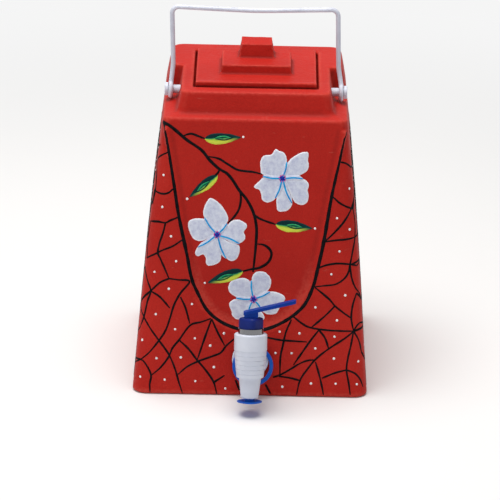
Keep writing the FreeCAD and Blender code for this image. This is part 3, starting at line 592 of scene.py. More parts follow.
def bendWalls(bm):
    # The walls swell a little at mid height, and the block behind the neck leans in.
    shoulder = potLook["wallTop"]["height"]
    for v in bm.verts:
        side, front, back = wallsAt(v.co.z)
        outward = 1 if v.co.x > 0 else -1
        nearSide = max(0.0, 1 - (side - abs(v.co.x)) / potLook["bendReach"])
        nearBack = max(0.0, 1 - (back - v.co.y) / potLook["bendReach"])
        if v.co.z < shoulder:
            rise = max(0, v.co.z - potLook["bellyFrom"]) / (shoulder - potLook["bellyFrom"])
            swell = potLook["belly"] * math.sin(math.pi * rise)
            v.co.x += outward * swell * nearSide
            v.co.y += swell * nearBack
        elif v.co.y > potLook["blockFront"]:
            rise = min(1, (v.co.z - shoulder) / (potHigh.z - shoulder))
            v.co.x -= outward * potLook["blockLean"] * rise * nearSide
        v.co.z += topRise(v.co)


def topRise(place):
    # The top of the pot climbs a little towards the back.
    rise = min(1, max(0, (place.y - potLook["riseFrom"]) / potLook["riseRun"]))
    height = min(1, max(0, (place.z - potLook["riseAbove"]) / potLook["riseBlend"]))
    return potLook["rise"] * math.sin(rise * math.pi / 2) * height


def showsDetail(place):
    # The outside and the mouth; the inside and the underside need less.
    outside = wallDepth(place) < potLook["wallMiddle"] and place.z > potLook["footHeight"]
    return place.z > potLook["neckFrom"] or outside


def makePot():
    bm = remeshed("pot_body", potLook["voxel"])
    bendWalls(bm)
    seatX, seatY, seatZ = potLook["lidSeat"]
    soften(bm, bm.verts, potLook["allOver"])
    outer = [v for v in bm.verts
             if not (abs(v.co.x) < seatX and abs(v.co.y) < seatY and v.co.z > seatZ)
             and v.co.z > potLook["footHeight"]]
    soften(bm, outer, potLook["neckEdges"])
    soften(bm, [v for v in outer if v.co.z < potLook["neckFrom"]], potLook["wallEdges"])
    bm.normal_update()
    shapeShieldEdge(bm)
    bm = thinned(bm, potLook["kept"], showsDetail, potLook["detailWeight"])
    markRelief(bm, potLook["reliefReach"])
    rawClay = bm.verts.layers.float.new("rawClay")
    relief = bm.verts.layers.float["relief"]
    hollow = bm.verts.layers.float["hollow"]
    slopeHighlightReach = potLook["slopeHighlightReach"]
    for v in bm.verts:
        # The shield's lower slope faces up to the light: it gets a painted highlight and loses its
        # painted shade.
        onSlope = -shieldDistance(v.co) / potLook["dishSlope"]
        if v.normal.y < potLook["frontFacing"] and 0 < onSlope < slopeHighlightReach:
            low = lowOnShield(v.co)
            v[hollow] *= 1 - low
            wornAndLit = potLook["slopeHighlight"] * low * math.sin(math.pi * onSlope / slopeHighlightReach)
            v[relief] = max(v[relief], wornAndLit)
        if v.co.z > potLook["standHeight"]:
            v.co -= v.normal * potLook["wander"] * strayAt(v.co, potLook["wanderSize"])
        belowMouth = v.co.z < potHigh.z - potLook["paintedDepth"]
        besideSeat = abs(v.co.x) > seatX or abs(v.co.y) > seatY
        onShoulder = besideSeat and v.co.z > potLook["shoulderFrom"]
        bare = wallDepth(v.co) > potLook["wallMiddle"] and belowMouth and not onShoulder
        v[rawClay] = 1.0 if bare else 0.0
    bm.normal_update()
    shell = bm.copy()
    hidden = [v for v in shell.verts if v[shell.verts.layers.float["rawClay"]] > 0.5]
    bmesh.ops.delete(shell, geom=hidden, context="VERTS")
    surface = BVHTree.FromBMesh(shell)
    shell.free()
    piece = finishMesh("paintedPot", bm, "pot", "redClay")
    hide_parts("pot_body")
    return surface


print("stage: pot")
potSurface = makePot()

lidLook = {
    "voxel": 0.8 * mm,
    "softness": 1,
    "wander": 0.35 * mm,
    "wanderSize": 22 * mm,
    "knobWander": 0.8 * mm,
    "knobWanderSize": 9 * mm,
    "reliefReach": 0.07 * mm,
    "plateAbove": 2 * mm,  # the plate's top stands this far above the pot's
    "plateDepth": 10 * mm,
    "knobFrom": 8 * mm,  # above the plate's top
    "bareBelow": 1 * mm,  # bare clay up to this far above the plate's foot
    "plateShade": 0.8,  # on its sides and foot
    "shadeTop": 1.5 * mm,  # which ends this far under its top
    "shadeFacing": 0.4,  # and where the clay faces up more than this
    "frontCurl": 2.3 * mm,  # how far the plate's front edge stands up
    "curlFrom": 14 * mm,  # this far behind that edge
    "curlAbove": 4 * mm,  # and this far above the plate's foot
}


def makeLid():
    bm = remeshed("lid", lidLook["voxel"])
    soften(bm, bm.verts, lidLook["softness"])
    bm.normal_update()
    markRelief(bm, lidLook["reliefReach"])
    hollow = bm.verts.layers.float["hollow"]
    rawClay = bm.verts.layers.float.new("rawClay")
    low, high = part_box("lid")
    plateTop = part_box("pot_body")[1].z + lidLook["plateAbove"]
    plateFoot = plateTop - lidLook["plateDepth"]
    knobFoot = plateTop + lidLook["knobFrom"]
    for v in bm.verts:
        if v.co.z > plateFoot + lidLook["curlAbove"]:
            v.co.z += lidLook["frontCurl"] * eased(1 - (v.co.y - low.y) / lidLook["curlFrom"])
        stray = lidLook["wander"] * strayAt(v.co, lidLook["wanderSize"])
        knock = lidLook["knobWander"] * strayAt(v.co, lidLook["knobWanderSize"])
        v.co -= v.normal * (stray + knock * max(0, v.co.z - knobFoot) / (high.z - knobFoot))
        v.co.z += topRise(v.co)
        v[rawClay] = 1.0 if v.co.z < plateFoot + lidLook["bareBelow"] else 0.0
        # Painted shade on the plate's sides and foot, in the gap round it.
        if v.co.z < plateTop - lidLook["shadeTop"] and v.normal.z < lidLook["shadeFacing"]:
            v[hollow] = max(v[hollow], lidLook["plateShade"])
    bm.normal_update()
    piece = finishMesh("paintedLid", bm, "lid", "redClay")
    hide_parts("lid")


print("stage: lid")
makeLid()

paintLook = {
    "thickness": 0.30 * mm,
    "offset": -0.4,  # most of that goes into the clay
    "facesTested": 200,
    "lift": 0.16 * mm,
    "step": 1.6 * mm,
    "columns": 4,  # points across a stroke
    "endShare": 5,  # a stroke widens and narrows over this part of its length
    "wobbleScale": 140,
    "dotSides": 12,
    "middlePixel": Vector((250, 260)),
    "nudge": 0.004,
}


def onPot(pixel):
    # The place on the pot that stands at a pixel of the frame, and where the clay faces there.
    # A pixel just past its outline counts as one on it.
    pixel = Vector(pixel)
    place = None
    while place is None:
        place, normal, _, _ = potSurface.ray_cast(cameraPlace, pixelRay(pixel))
        pixel = pixel.lerp(paintLook["middlePixel"], paintLook["nudge"])
    return place, normal


def nearPot(place):
    found, normal, _, _ = potSurface.find_nearest(place)
    return found, normal


def smoothLine(points, step):
    # A soft line through the points, sampled evenly.
    padded = [points[0] * 2 - points[1], *points, points[-1] * 2 - points[-2]]
    line = []
    for before, start, end, after in zip(padded, padded[1:], padded[2:], padded[3:]):
        count = max(1, round((end - start).length / step))
        for number in range(count):
            t = number / count
            line.append(0.5 * (2 * start + (end - before) * t
                               + (2 * before - 5 * start + 4 * end - after) * t * t
                               + (3 * start - before - 3 * end + after) * t ** 3))
    line.append(points[-1])
    return line


def layStroke(bm, points, width, taper=(0.55, 0.45), unevenness=0.16, phase=0.0, lift=0.0):
    # A brush stroke through points on the pot: a narrow strip that follows the clay.
    line = smoothLine(points, paintLook["step"])
    columns = paintLook["columns"]
    endShare = paintLook["endShare"]
    strip = bmesh.ops.create_grid(
        bm, x_segments=len(line) - 1, y_segments=columns - 1, size=1)["verts"]
    strip.sort(key=lambda v: (round(v.co.x, 5), v.co.y))
    for number, middle in enumerate(line):
        ahead = line[min(number + 1, len(line) - 1)]
        behind = line[max(number - 1, 0)]
        place, normal = nearPot(middle)
        side = normal.cross(ahead - behind).normalized()
        share = number / (len(line) - 1)
        swell = taper[0] + (1 - taper[0]) * min(1, share * endShare)
        swell *= taper[1] + (1 - taper[1]) * min(1, (1 - share) * endShare)
        wobble = Vector((*(middle.xz * paintLook["wobbleScale"]), phase))
        swell *= 1 + unevenness * noise.noise(wobble)
        for column in range(columns):
            offset = (column / (columns - 1) - 0.5) * width * swell
            spot, out = nearPot(place + side * offset)
            heap = paintLook["lift"] if 0 < column < columns - 1 else 0
            strip[number * columns + column].co = spot + out * (heap + lift)


def layDot(bm, place, normal, radius, height):
    # A drop of paint: a low dome.
    dome = bmesh.ops.create_circle(
        bm, cap_ends=True, cap_tris=True, segments=paintLook["dotSides"], radius=radius)["verts"]
    turn = normal.to_track_quat("Z", "Y").to_matrix().to_4x4()
    for v in dome:
        if v.co.length < radius / 2:
            v.co.z = height
    bmesh.ops.transform(bm, matrix=Matrix.Translation(place) @ turn, verts=dome)


def layDotAt(bm, pixel, radius, height, lift=0.0):
    place, normal = onPot(pixel)
    layDot(bm, place + normal * lift, normal, radius, height)


def finishPaint(name, bm, finish):
    bmesh.ops.recalc_face_normals(bm, faces=bm.faces)
    tested = bm.faces[:paintLook["facesTested"]]
    facing = sum(nearPot(f.calc_center_median())[1].dot(f.normal) for f in tested)
    if facing < 0:
        bmesh.ops.reverse_faces(bm, faces=bm.faces)
    piece = finishMesh(name, bm, "pot", finish)
    body = piece.modifiers.new("paintBody", "SOLIDIFY")
    body.thickness = paintLook["thickness"]
    body.offset = paintLook["offset"]


# The shield's black border, from its top left corner round the bottom to the top right.
borderLine = {
    "left": [(163.0, 121.5), (164.8, 131), (168.8, 152), (174.4, 187), (179, 217), (187, 255),
             (191.4, 277.6), (198.6, 295), (207.8, 311), (222, 322.4), (238.4, 329)],
    "right": [(250, 331), (264.3, 329.6), (279.5, 324), (294, 315), (305, 304), (313.3, 286),
              (317.9, 268), (323.7, 242), (331.8, 196), (339.5, 162), (344.8, 139), (346.6, 132.5)],
    "width": 3.3 * mm,
}

# The vine that hangs from the shield's top left corner, with its side shoots.
vineLines = {
    "stem": [(163.4, 121.8), (169, 125.2), (176, 130.6), (187, 140), (201.4, 150), (209.6, 160),
             (218.8, 168.6), (227, 173.5), (233, 180.6), (239, 190), (247, 200), (253.5, 213),
             (256.5, 227.6), (256, 243), (254.5, 259), (253, 272)],
    "stemWidth": 2.7 * mm,
    "shoots": [
        [(184, 135.5), (191, 133.7), (198, 136), (205, 138.8)],
        [(208.6, 156.5), (218.8, 158.7), (228, 164.3), (238.2, 170), (253, 172), (262, 174.2)],
        [(219.5, 169.4), (217.8, 173), (214.7, 175.5)],
        [(239.7, 190), (240.9, 199), (239, 209), (234, 217), (228, 223)],
        [(253.2, 213), (257, 217), (264, 220.5), (276, 224.5)],
    ],
    "loop": [(257.5, 244), (264, 245), (269.5, 249), (271.5, 254.5), (268.4, 262), (260, 267.5),
             (250, 269.5), (242, 271.5)],
    "loopWidth": 2.4 * mm,
    "shootWidth": 2.0 * mm,
}

# The net of black lines outside the shield, on the front wall.
netLines = {
    "left": [
        [(168, 152.3), (162, 155), (157.8, 160), (156.6, 175), (155.4, 190), (152.8, 204)],
        [(173.6, 188.5), (168, 193), (161, 193.5), (154.5, 189.5)],
        [(177.5, 217.5), (170, 220.5), (165.5, 222.8), (158, 221.5), (150.5, 221)],
        [(165.5, 222.8), (163, 233), (159.5, 243), (157.8, 252.5), (160.5, 259), (164.5, 268),
         (169, 278.5)],
        [(182, 240), (173, 246), (163, 250), (157.8, 252.5), (147, 258)],
        [(169, 278.5), (160, 282.5), (150.7, 290.8), (143.5, 296.5)],
        [(169, 278.5), (178, 279.8), (189.5, 281.5), (180.5, 293), (174, 305), (170, 318),
         (165.5, 330.5), (158.5, 341), (149.5, 352), (142, 358.5)],
        [(150.7, 290.8), (160, 297), (169.7, 308)],
        [(145.2, 266.6), (147.4, 280), (150.7, 290.8), (147.4, 301.4), (144, 316.3), (140.2, 327)],
        [(144.5, 318), (150, 328), (158.5, 340), (168.5, 354), (175, 369), (179, 383), (182.5, 393)],
        [(180.5, 297), (185.5, 308), (189.7, 323.5)],
        [(211, 318.5), (201, 322), (190, 325.5), (179, 340), (172.5, 348), (168.5, 357),
         (160.5, 367.5), (151, 375.5)],
        [(179, 340), (188.5, 349), (197, 360), (205.5, 370), (213.5, 382), (216.8, 394)],
        [(211.5, 319), (205, 337), (197.5, 359)],
        [(211.8, 319), (217, 331), (224.5, 345.5)],
        [(234, 339), (226, 346), (221, 352.5), (213, 356), (199, 361), (187.5, 366.5), (178, 374.5)],
        [(213.5, 382.5), (219, 379), (224.5, 375.3)],
        [(136, 357.5), (142, 360), (147.5, 367), (151, 375.5), (149.7, 384), (150, 392)],
        [(235.5, 380), (239.5, 390.5)],
    ],
    "right": [
        [(340.3, 162), (346, 163.5), (351, 167.5)],
        [(332, 196), (339, 202.5), (345, 206), (352.5, 209)],
        [(350.5, 210.5), (344.5, 221), (336, 231), (324.5, 242)],
        [(324, 242), (334, 240.5), (345, 239.5), (355, 237)],
        [(353, 209), (355, 222), (354.8, 238), (352.5, 252), (350, 265), (348.5, 272), (344, 279),
         (335.5, 284.3), (325, 285.7), (314.5, 286.8)],
        [(318.5, 268), (327, 265), (338, 263.5), (350, 264.3), (357, 265.5)],
        [(350, 265), (351.5, 277), (355, 287), (359, 292.5)],
        [(315, 287.5), (322.5, 293.5), (330, 300), (335, 306), (343, 312.5), (351, 318)],
        [(334.5, 306.5), (325, 316), (312, 327)],
        [(356.5, 293), (352.8, 305), (351.3, 318), (353.5, 331)],
        [(293.5, 316.5), (302, 323.5), (310, 327.5), (325, 330), (340, 331), (353.5, 331)],
        [(353.5, 331), (357, 325.5), (360, 322.5)],
        [(353.5, 331), (359, 341), (361.5, 352)],
        [(353.5, 331.5), (344, 339), (330, 348), (317, 358), (308, 368.5), (300, 380.5), (296.5, 395)],
        [(353.5, 331.5), (351, 345), (348, 358), (346.5, 370), (348.5, 382), (350.3, 395)],
        [(346.5, 370), (335, 373), (322, 378.3)],
        [(346.5, 370), (355, 373.5), (360.5, 380), (363, 387)],
        [(315.5, 362), (319, 374), (322, 387), (323.5, 395)],
        [(319, 330), (311, 340), (302.5, 352), (293.5, 365)],
        [(319, 330), (325, 338), (328.5, 348.5)],
        [(291.5, 319.5), (286, 332), (283, 345), (280.5, 357), (279.8, 374)],
        [(267, 337.5), (280, 340), (292, 341), (307, 342)],
        [(273, 377.3), (280, 375), (290, 369.5), (300, 363.5), (308, 360.5), (316, 360)],
        [(279, 376.3), (290, 378), (299.5, 380.5)],
        [(265.5, 384.5), (270.5, 394)],
    ],
    "width": 1.8 * mm,
}

# One white dot in nearly every mesh of the net.
netDots = {
    "places": [
        (163.6, 175), (162.3, 207), (171, 236.3), (176.1, 261.2), (154.5, 271.8), (168.8, 288.8),
        (192, 304), (155.8, 314.2), (175, 329.2), (223.9, 333.4), (194.9, 338.4), (142.2, 339.9),
        (210.2, 345.7), (156.5, 358.3), (180.7, 357.4), (213.9, 367.2), (140.2, 376.7),
        (164.6, 379.7), (195.3, 381.2), (225.3, 388.6),
        (349.4, 188.6), (337, 218.2), (349.7, 229.4), (339.5, 251.4), (331.4, 274.3),
        (315.4, 307.5), (337, 320.4), (279.7, 331.8), (299.4, 333.4), (334.6, 336.8),
        (345.2, 295.4), (275.4, 353.1), (291.6, 353.3), (315.3, 348.5), (333.9, 358.6),
        (358.3, 361.4), (282.3, 386.8), (311, 383.6), (335.7, 383.8), (356.8, 384.3)],
    "radius": 1.1 * mm,
    "height": 0.256 * mm,
    "sizeSpread": 0.2,
}

flowers = {
    "upper": {
        "centre": (282.4, 178.6),
        "petals": [
            [(262.9, 174.5), (260.7, 168.7), (260.4, 161.3), (263.7, 155.8), (271, 154.7),
             (273.9, 151.1), (276.1, 148.9), (279.1, 151.1), (282.7, 151.8), (286.1, 156.2),
             (286.8, 162.8), (284.6, 168.7)],
            [(285.2, 168.7), (288.6, 161.3), (294.4, 156.2), (302.5, 152.2), (308.1, 152.5),
             (308.4, 156.9), (307.8, 160.6), (308.8, 165), (306.9, 170.9), (299.6, 175.3),
             (290.8, 177.9)],
            [(293.7, 179.6), (302.5, 178.9), (307.6, 181.9), (308.7, 186.3), (307.6, 190.7),
             (308.7, 196.5), (306.9, 202.4), (301.8, 205), (295.2, 202.4), (291.5, 196.5),
             (287.8, 187.7)],
            [(286, 190.7), (289.6, 198), (292.2, 203.9), (288.6, 209.7), (282.7, 211.5),
             (277.6, 210.5), (276.4, 203.9), (276.8, 197.3), (279.8, 187.7)],
            [(271.7, 178.6), (264.4, 176.9), (258.5, 181.9), (253.8, 187), (259.3, 189.9),
             (261, 193.6), (262.2, 199.5), (266.6, 202.4), (272.5, 200.9), (275.4, 198),
             (278.6, 189.2)],
        ],
        "veins": [(262.9, 176.2), (286.8, 162), (303, 178.7), (291.9, 203), (275.3, 198)],
    },
    "middle": {
        "centre": (217.2, 234.7),
        "petals": [
            [(210.1, 224.4), (204.3, 217.1), (203.1, 211.9), (205, 205.3), (208.7, 199),
             (211.3, 198.3), (216.7, 200.9), (221.9, 206.1), (226.3, 212.7), (228.2, 218.5),
             (226.3, 223.7), (219.5, 231)],
            [(226.3, 226.5), (232.1, 220.7), (239.5, 220), (246.1, 223.7), (246.8, 227.3),
             (243.9, 231.7), (245.3, 236.1), (243.9, 240.5), (238, 243.4), (229.2, 240)],
            [(227.7, 241.2), (235.1, 243.6), (239.5, 246.4), (239.2, 253), (236.5, 258.9),
             (231.4, 261.1), (226.3, 258.1), (221.9, 252.3), (218.9, 244.9)],
            [(218.4, 244.9), (221.1, 253.7), (220.1, 261.1), (214.5, 264.7), (208.7, 265.7),
             (205.7, 263.2), (206, 258.1), (202.8, 254.4), (197.7, 256.4), (195, 253.7),
             (196.6, 248.6), (201.3, 242.7), (208.7, 239.5)],
            [(208.7, 238.1), (201.3, 241), (194, 239.1), (190.3, 233.2), (188.1, 225.9),
             (189.3, 220.7), (195.5, 218.5), (204.3, 219.3), (209.4, 225.9)],
        ],
        "veins": [(204.6, 217.5), (227, 223.5), (239.5, 243.6), (226, 258.3), (198, 247)],
    },
    "lower": {
        "centre": (253.4, 299.2),
        "petals": [
            [(252.2, 286), (251.9, 278.6), (254.1, 273.5), (259.3, 271.3), (265.9, 272.8),
             (270.3, 277.9), (271, 284.5), (267.3, 291.1), (260.7, 294.2)],
            [(265.9, 292.4), (274.6, 291.8), (282.7, 294.8), (285.2, 298.4), (283, 303),
             (279, 309), (276, 313.5), (268, 314.5), (262, 311), (258.5, 305)],
            [(257.5, 307), (262, 312.5), (264.5, 317), (262.5, 321), (257, 322.5), (251.5, 321),
             (248.5, 316.5), (249.6, 309)],
            [(249.2, 308), (245.3, 315.3), (240.9, 319), (235.8, 319), (232.1, 315.3),
             (231.4, 310.9), (229.2, 305.8), (229.9, 302.1), (235.1, 299.2), (243.9, 298.8)],
            [(243.9, 298), (237.3, 297.2), (230.7, 293.3), (228.2, 288.2), (230.7, 281.6),
             (238, 278.6), (245.3, 278.3), (250.5, 282.3), (251.4, 290.4)],
        ],
        "veins": [(251.5, 280.5), (270, 291.8), (260.8, 308.5), (248.5, 311.5), (236, 297.8)],
    },
}

flowerLook = {
    "petalFoot": 0.12,  # a petal starts this share of the way from the flower's centre
    "rimStep": 1.6,  # pixels between the points of its rim
    "ragged": 0.3,  # how far the rim strays, in pixels
    "raggedScale": 0.6,
    "fineness": 2.6,  # longest side of a petal's faces, in pixels
    "passes": 5,  # rounds in which longer sides are cut
    "heapWidth": 3.2,  # the whiter band along a petal's edge, in pixels
    "veinFrom": 0.08,  # a vein starts this share of the way from the flower's centre
    "veinMiddle": 0.55,
    "veinBend": 0.045,
    "veinWidth": 1.35 * mm,
    "veinLift": 0.4 * mm,
    "underWidth": 5.2 * mm,  # petal paint under each vein, where two petals meet
    "underLift": 0.1 * mm,
    "centreRadius": 3.0 * mm,
    "centreHeight": 0.5 * mm,
    "centreLift": 0.35 * mm,
    "buds": 9,
    "budReach": 3.1,  # pixels from the flower's centre
    "budSpread": 0.9,
    "budRadius": 0.7 * mm,
    "budHeight": 0.4 * mm,
    "budLift": 0.45 * mm,
}

# Each leaf: where it joins its shoot, its tip, and half its width in pixels on its dark side
# and on its light side.
leaves = [
    {"stalk": (204.6, 138.7), "tip": (241, 137.3), "dark": 5.0, "light": 6.2},
    {"stalk": (217.6, 175.4), "tip": (189.4, 197), "dark": 5.2, "light": 5.4},
    {"stalk": (275.6, 224.4), "tip": (312.4, 228.3), "dark": 5.6, "light": 6.2},
    {"stalk": (242.9, 271.2), "tip": (207.6, 282.8), "dark": 6.0, "light": 5.6},
]
leafDots = [(243.2, 137), (187.1, 198.9), (315, 228.5), (204.8, 282.9)]

leafLook = {
    "steps": 22,
    "columns": 7,
    "widest": 0.72,  # below 1, a leaf is widest nearer its stalk
    "fullness": 0.8,
    "leastWidth": 0.03,
    "jag": 0.09,
    "jagScales": (14, 2),
    # The strokes along its middle: their bend to one side, their ends as shares of the leaf.
    "darkStroke": (-1.5, 0.3, 0.8),
    "brightStroke": (1.4, 0.3, 0.72),
    "strokeBend": 1.3,
    "strokeStart": 0.4,
    "strokeWidth": 1.0 * mm,
    "strokeLift": 0.3 * mm,
}


def pixelPoints(pixels):
    return [onPot(pixel)[0] for pixel in pixels]


def paintBorder():
    bm = bmesh.new()
    line = borderLine["left"] + borderLine["right"]
    layStroke(bm, pixelPoints(line), borderLine["width"], taper=(0.7, 0.6), unevenness=0.2)
    finishPaint("paintedBorder", bm, "blackPaint")


def paintVine():
    bm = bmesh.new()
    layStroke(bm, pixelPoints(vineLines["stem"]), vineLines["stemWidth"], taper=(1.2, 0.6))
    for number, shoot in enumerate(vineLines["shoots"]):
        layStroke(bm, pixelPoints(shoot), vineLines["shootWidth"], phase=number)
    layStroke(bm, pixelPoints(vineLines["loop"]), vineLines["loopWidth"], taper=(0.4, 0.6))
    finishPaint("paintedVine", bm, "blackPaint")


def paintFrontNet():
    bm = bmesh.new()
    for number, stroke in enumerate(netLines["left"] + netLines["right"]):
        layStroke(bm, pixelPoints(stroke), netLines["width"], taper=(0.8, 0.55), unevenness=0.35,
                  phase=number)
    finishPaint("paintedNetFront", bm, "blackPaint")


# The net goes on round the other three walls, where the front's lines lead it.
wallNet = {
    "perWall": 11,  # half meshes along a wall
    "rows": 15,  # half meshes from the base up
    "low": 5 * mm,
    "high": 232 * mm,
    "sway": 0.42,  # how far a knot strays, in half meshes
    "topFray": 1.4,  # how far the top knots hang down, in half meshes
    "leftOut": 0.13,  # chance that a line stops at a knot
    "split": 0.22,  # chance that a mesh has a line across it
    "splitSag": 0.3,
    "splitDot": 0.42,  # how far its dot moves up for that line
    "dotSizes": (0.85, 1.2),
    "phases": 50,
    "nearCorner": 9 * mm,  # a front line that ends this near to the corner goes on round it
    "joinLow": 12 * mm,
    "joinBelowTop": 10 * mm,
    "joinReach": 34 * mm,
    "seed": 11,
}


def wallPlace(turn, height):
    # A place on the outside of the pot. turn runs 0 to 3, from the front left corner round
    # the left, back and right walls to the front right corner.
    side, front, back = wallsAt(height)
    corners = [Vector(corner) for corner in
               ((-side, front), (-side, back), (side, back), (side, front))]
    wall = min(2, max(0, int(turn)))
    spot = corners[wall].lerp(corners[wall + 1], turn - wall)
    return nearPot(Vector((spot.x, spot.y, height)))[0]


def cornerEnds():
    # Where the front's lines reach the two front corners of the pot.
    ends = []
    highest = wallNet["high"] - wallNet["joinBelowTop"]
    for stroke in netLines["left"] + netLines["right"]:
        for place in pixelPoints((stroke[0], stroke[-1])):
            nearSide = wallsAt(place.z)[0] - abs(place.x) < wallNet["nearCorner"]
            if nearSide and wallNet["joinLow"] < place.z < highest:
                ends.append(place)
    return ends


def netKnots(chance):
    # Knots in a slanted lattice on the unrolled walls, each a little astray.
    columns = wallNet["perWall"] * 3
    rows = wallNet["rows"]
    pitch = (wallNet["high"] - wallNet["low"]) / rows
    sway = wallNet["sway"]
    knots = {}
    for column in range(1, columns):
        for row in range(rows + 1):
            if (column + row) % 2:
                continue
            turn = (column + chance.uniform(-sway, sway)) / wallNet["perWall"]
            height = row + chance.uniform(-sway, sway) * (row > 0)
            height = min(height, rows - chance.uniform(0, wallNet["topFray"]))
            knots[column, row] = wallPlace(turn, wallNet["low"] + pitch * height)
    return knots


def paintWallNet():
    chance = random.Random(wallNet["seed"])
    knots = netKnots(chance)
    lines = bmesh.new()

    def stroke(run):
        if len(run) > 1:
            layStroke(lines, run, netLines["width"], taper=(0.8, 0.6), unevenness=0.35,
                      phase=chance.uniform(0, wallNet["phases"]))

    for slant in (1, -1):
        for column, row in sorted(knots):
            if (column - slant, row + 1) in knots:
                continue
            run = []
            while (column, row) in knots:
                run.append(knots[column, row])
                if len(run) > 1 and chance.random() < wallNet["leftOut"]:
                    stroke(run)
                    run = []
                column += slant
                row -= 1
            stroke(run)
    for end in cornerEnds():
        nearest = min(knots.values(), key=lambda knot: (knot - end).length)
        if (nearest - end).length < wallNet["joinReach"]:
            stroke([end, nearest])
    dots = bmesh.new()
    for column, row in sorted(knots):
        corners = [knots.get(knot) for knot in
                   ((column, row), (column + 2, row), (column + 1, row + 1), (column + 1, row - 1))]
        if None in corners:
            continue
        left, right, upper, lower = corners
        middle = sum(corners, Vector()) / 4
        if chance.random() < wallNet["split"]:
            sag = middle.lerp(lower, chance.uniform(0, wallNet["splitSag"]))
            stroke([left, sag, right])
            middle = middle.lerp(upper, wallNet["splitDot"])
        place, normal = nearPot(middle)
        layDot(dots, place, normal, netDots["radius"] * chance.uniform(*wallNet["dotSizes"]),
               netDots["height"])
    finishPaint("paintedNetRound", lines, "blackPaint")
    finishPaint("paintedDotsRound", dots, "whitePaint")


def paintDots():
    bm = bmesh.new()
    for number, pixel in enumerate(netDots["places"] + leafDots):
        size = 1 + netDots["sizeSpread"] * noise.noise(Vector((number * 1.7, 0.3, 0.9)))
        layDotAt(bm, pixel, netDots["radius"] * size, netDots["height"])
    finishPaint("paintedDots", bm, "whitePaint")


def petalOutline(flower, petal):
    # The petal's rim as a closed soft line that starts and ends near the flower's centre.
    centre = Vector(flower["centre"])
    rim = [Vector(point) for point in petal]
    toFirst, toLast = (centre.lerp(rim[end], flowerLook["petalFoot"]) for end in (0, -1))
    return smoothLine([toFirst, *rim, toLast], flowerLook["rimStep"])


def rimDistance(point, outline):
    # How far a pixel inside the outline is from it.
    nearest = 1e9
    for first, second in zip(outline, outline[1:] + outline[:1]):
        run = second - first
        share = max(0.0, min(1.0, (point - first).dot(run) / max(run.length_squared, 1e-9)))
        nearest = min(nearest, (point - first - run * share).length)
    return nearest


def layPetal(bm, layer, flower, petal):
    outline = petalOutline(flower, petal)
    fill = bmesh.new()
    ring = bmesh.ops.create_circle(fill, cap_ends=True, segments=len(outline), radius=1)["verts"]
    for v, point in zip(ring, outline):
        fine = point * flowerLook["raggedScale"]
        ragged = flowerLook["ragged"] * noise.noise(Vector((fine.x, fine.y, 4.2)))
        v.co = (point.x + ragged, point.y - ragged, 0)
    bmesh.ops.triangulate(fill, faces=fill.faces)
    for _ in range(flowerLook["passes"]):
        long = [e for e in fill.edges if e.calc_length() > flowerLook["fineness"]]
        if not long:
            break
        bmesh.ops.subdivide_edges(fill, edges=long, cuts=1)
        bmesh.ops.triangulate(fill, faces=fill.faces)
        bmesh.ops.beautify_fill(fill, faces=fill.faces, edges=fill.edges)
    laid = {}
    for v in fill.verts:
        inward = rimDistance(v.co.xy, outline) / flowerLook["heapWidth"]
        place, normal = onPot(v.co.xy)
        laid[v] = bm.verts.new(place + normal * paintLook["lift"] * min(1, inward))
        laid[v][layer] = max(0.0, 1 - inward)
    for face in fill.faces:
        bm.faces.new([laid[v] for v in face.verts])
    fill.free()


def paintFlowers():
    look = flowerLook
    petals, veins, hearts, buds = (bmesh.new() for _ in range(4))
    layer = petals.verts.layers.float.new("petalEdge")
    for flower in flowers.values():
        centre = Vector(flower["centre"])
        for petal in flower["petals"]:
            layPetal(petals, layer, flower, petal)
        for number, end in enumerate(flower["veins"]):
            end = Vector(end)
            bend = (end - centre).orthogonal() * look["veinBend"] * (1 if number % 2 else -1)
            middle = centre.lerp(end, look["veinMiddle"]) + bend
            line = pixelPoints([centre.lerp(end, look["veinFrom"]), middle, end])
            layStroke(petals, line, look["underWidth"], taper=(0.7, 0.2), lift=look["underLift"])
            layStroke(veins, line, look["veinWidth"], taper=(1.0, 0.6), lift=look["veinLift"])
        layDotAt(hearts, centre, look["centreRadius"], look["centreHeight"], look["centreLift"])
        for number in range(look["buds"]):
            turn = number * 2 * math.pi / look["buds"]
            stray = look["budSpread"] * noise.noise(Vector((number, centre.x, 0)))
            out = Vector((math.cos(turn), math.sin(turn))) * (look["budReach"] + stray)
            layDotAt(buds, centre + out, look["budRadius"], look["budHeight"], look["budLift"])
    finishPaint("paintedPetals", petals, "petalWhite")
    finishPaint("paintedVeins", veins, "veinPaint")
    finishPaint("paintedHearts", hearts, "centrePaint")
    finishPaint("paintedBuds", buds, "pinkPaint")


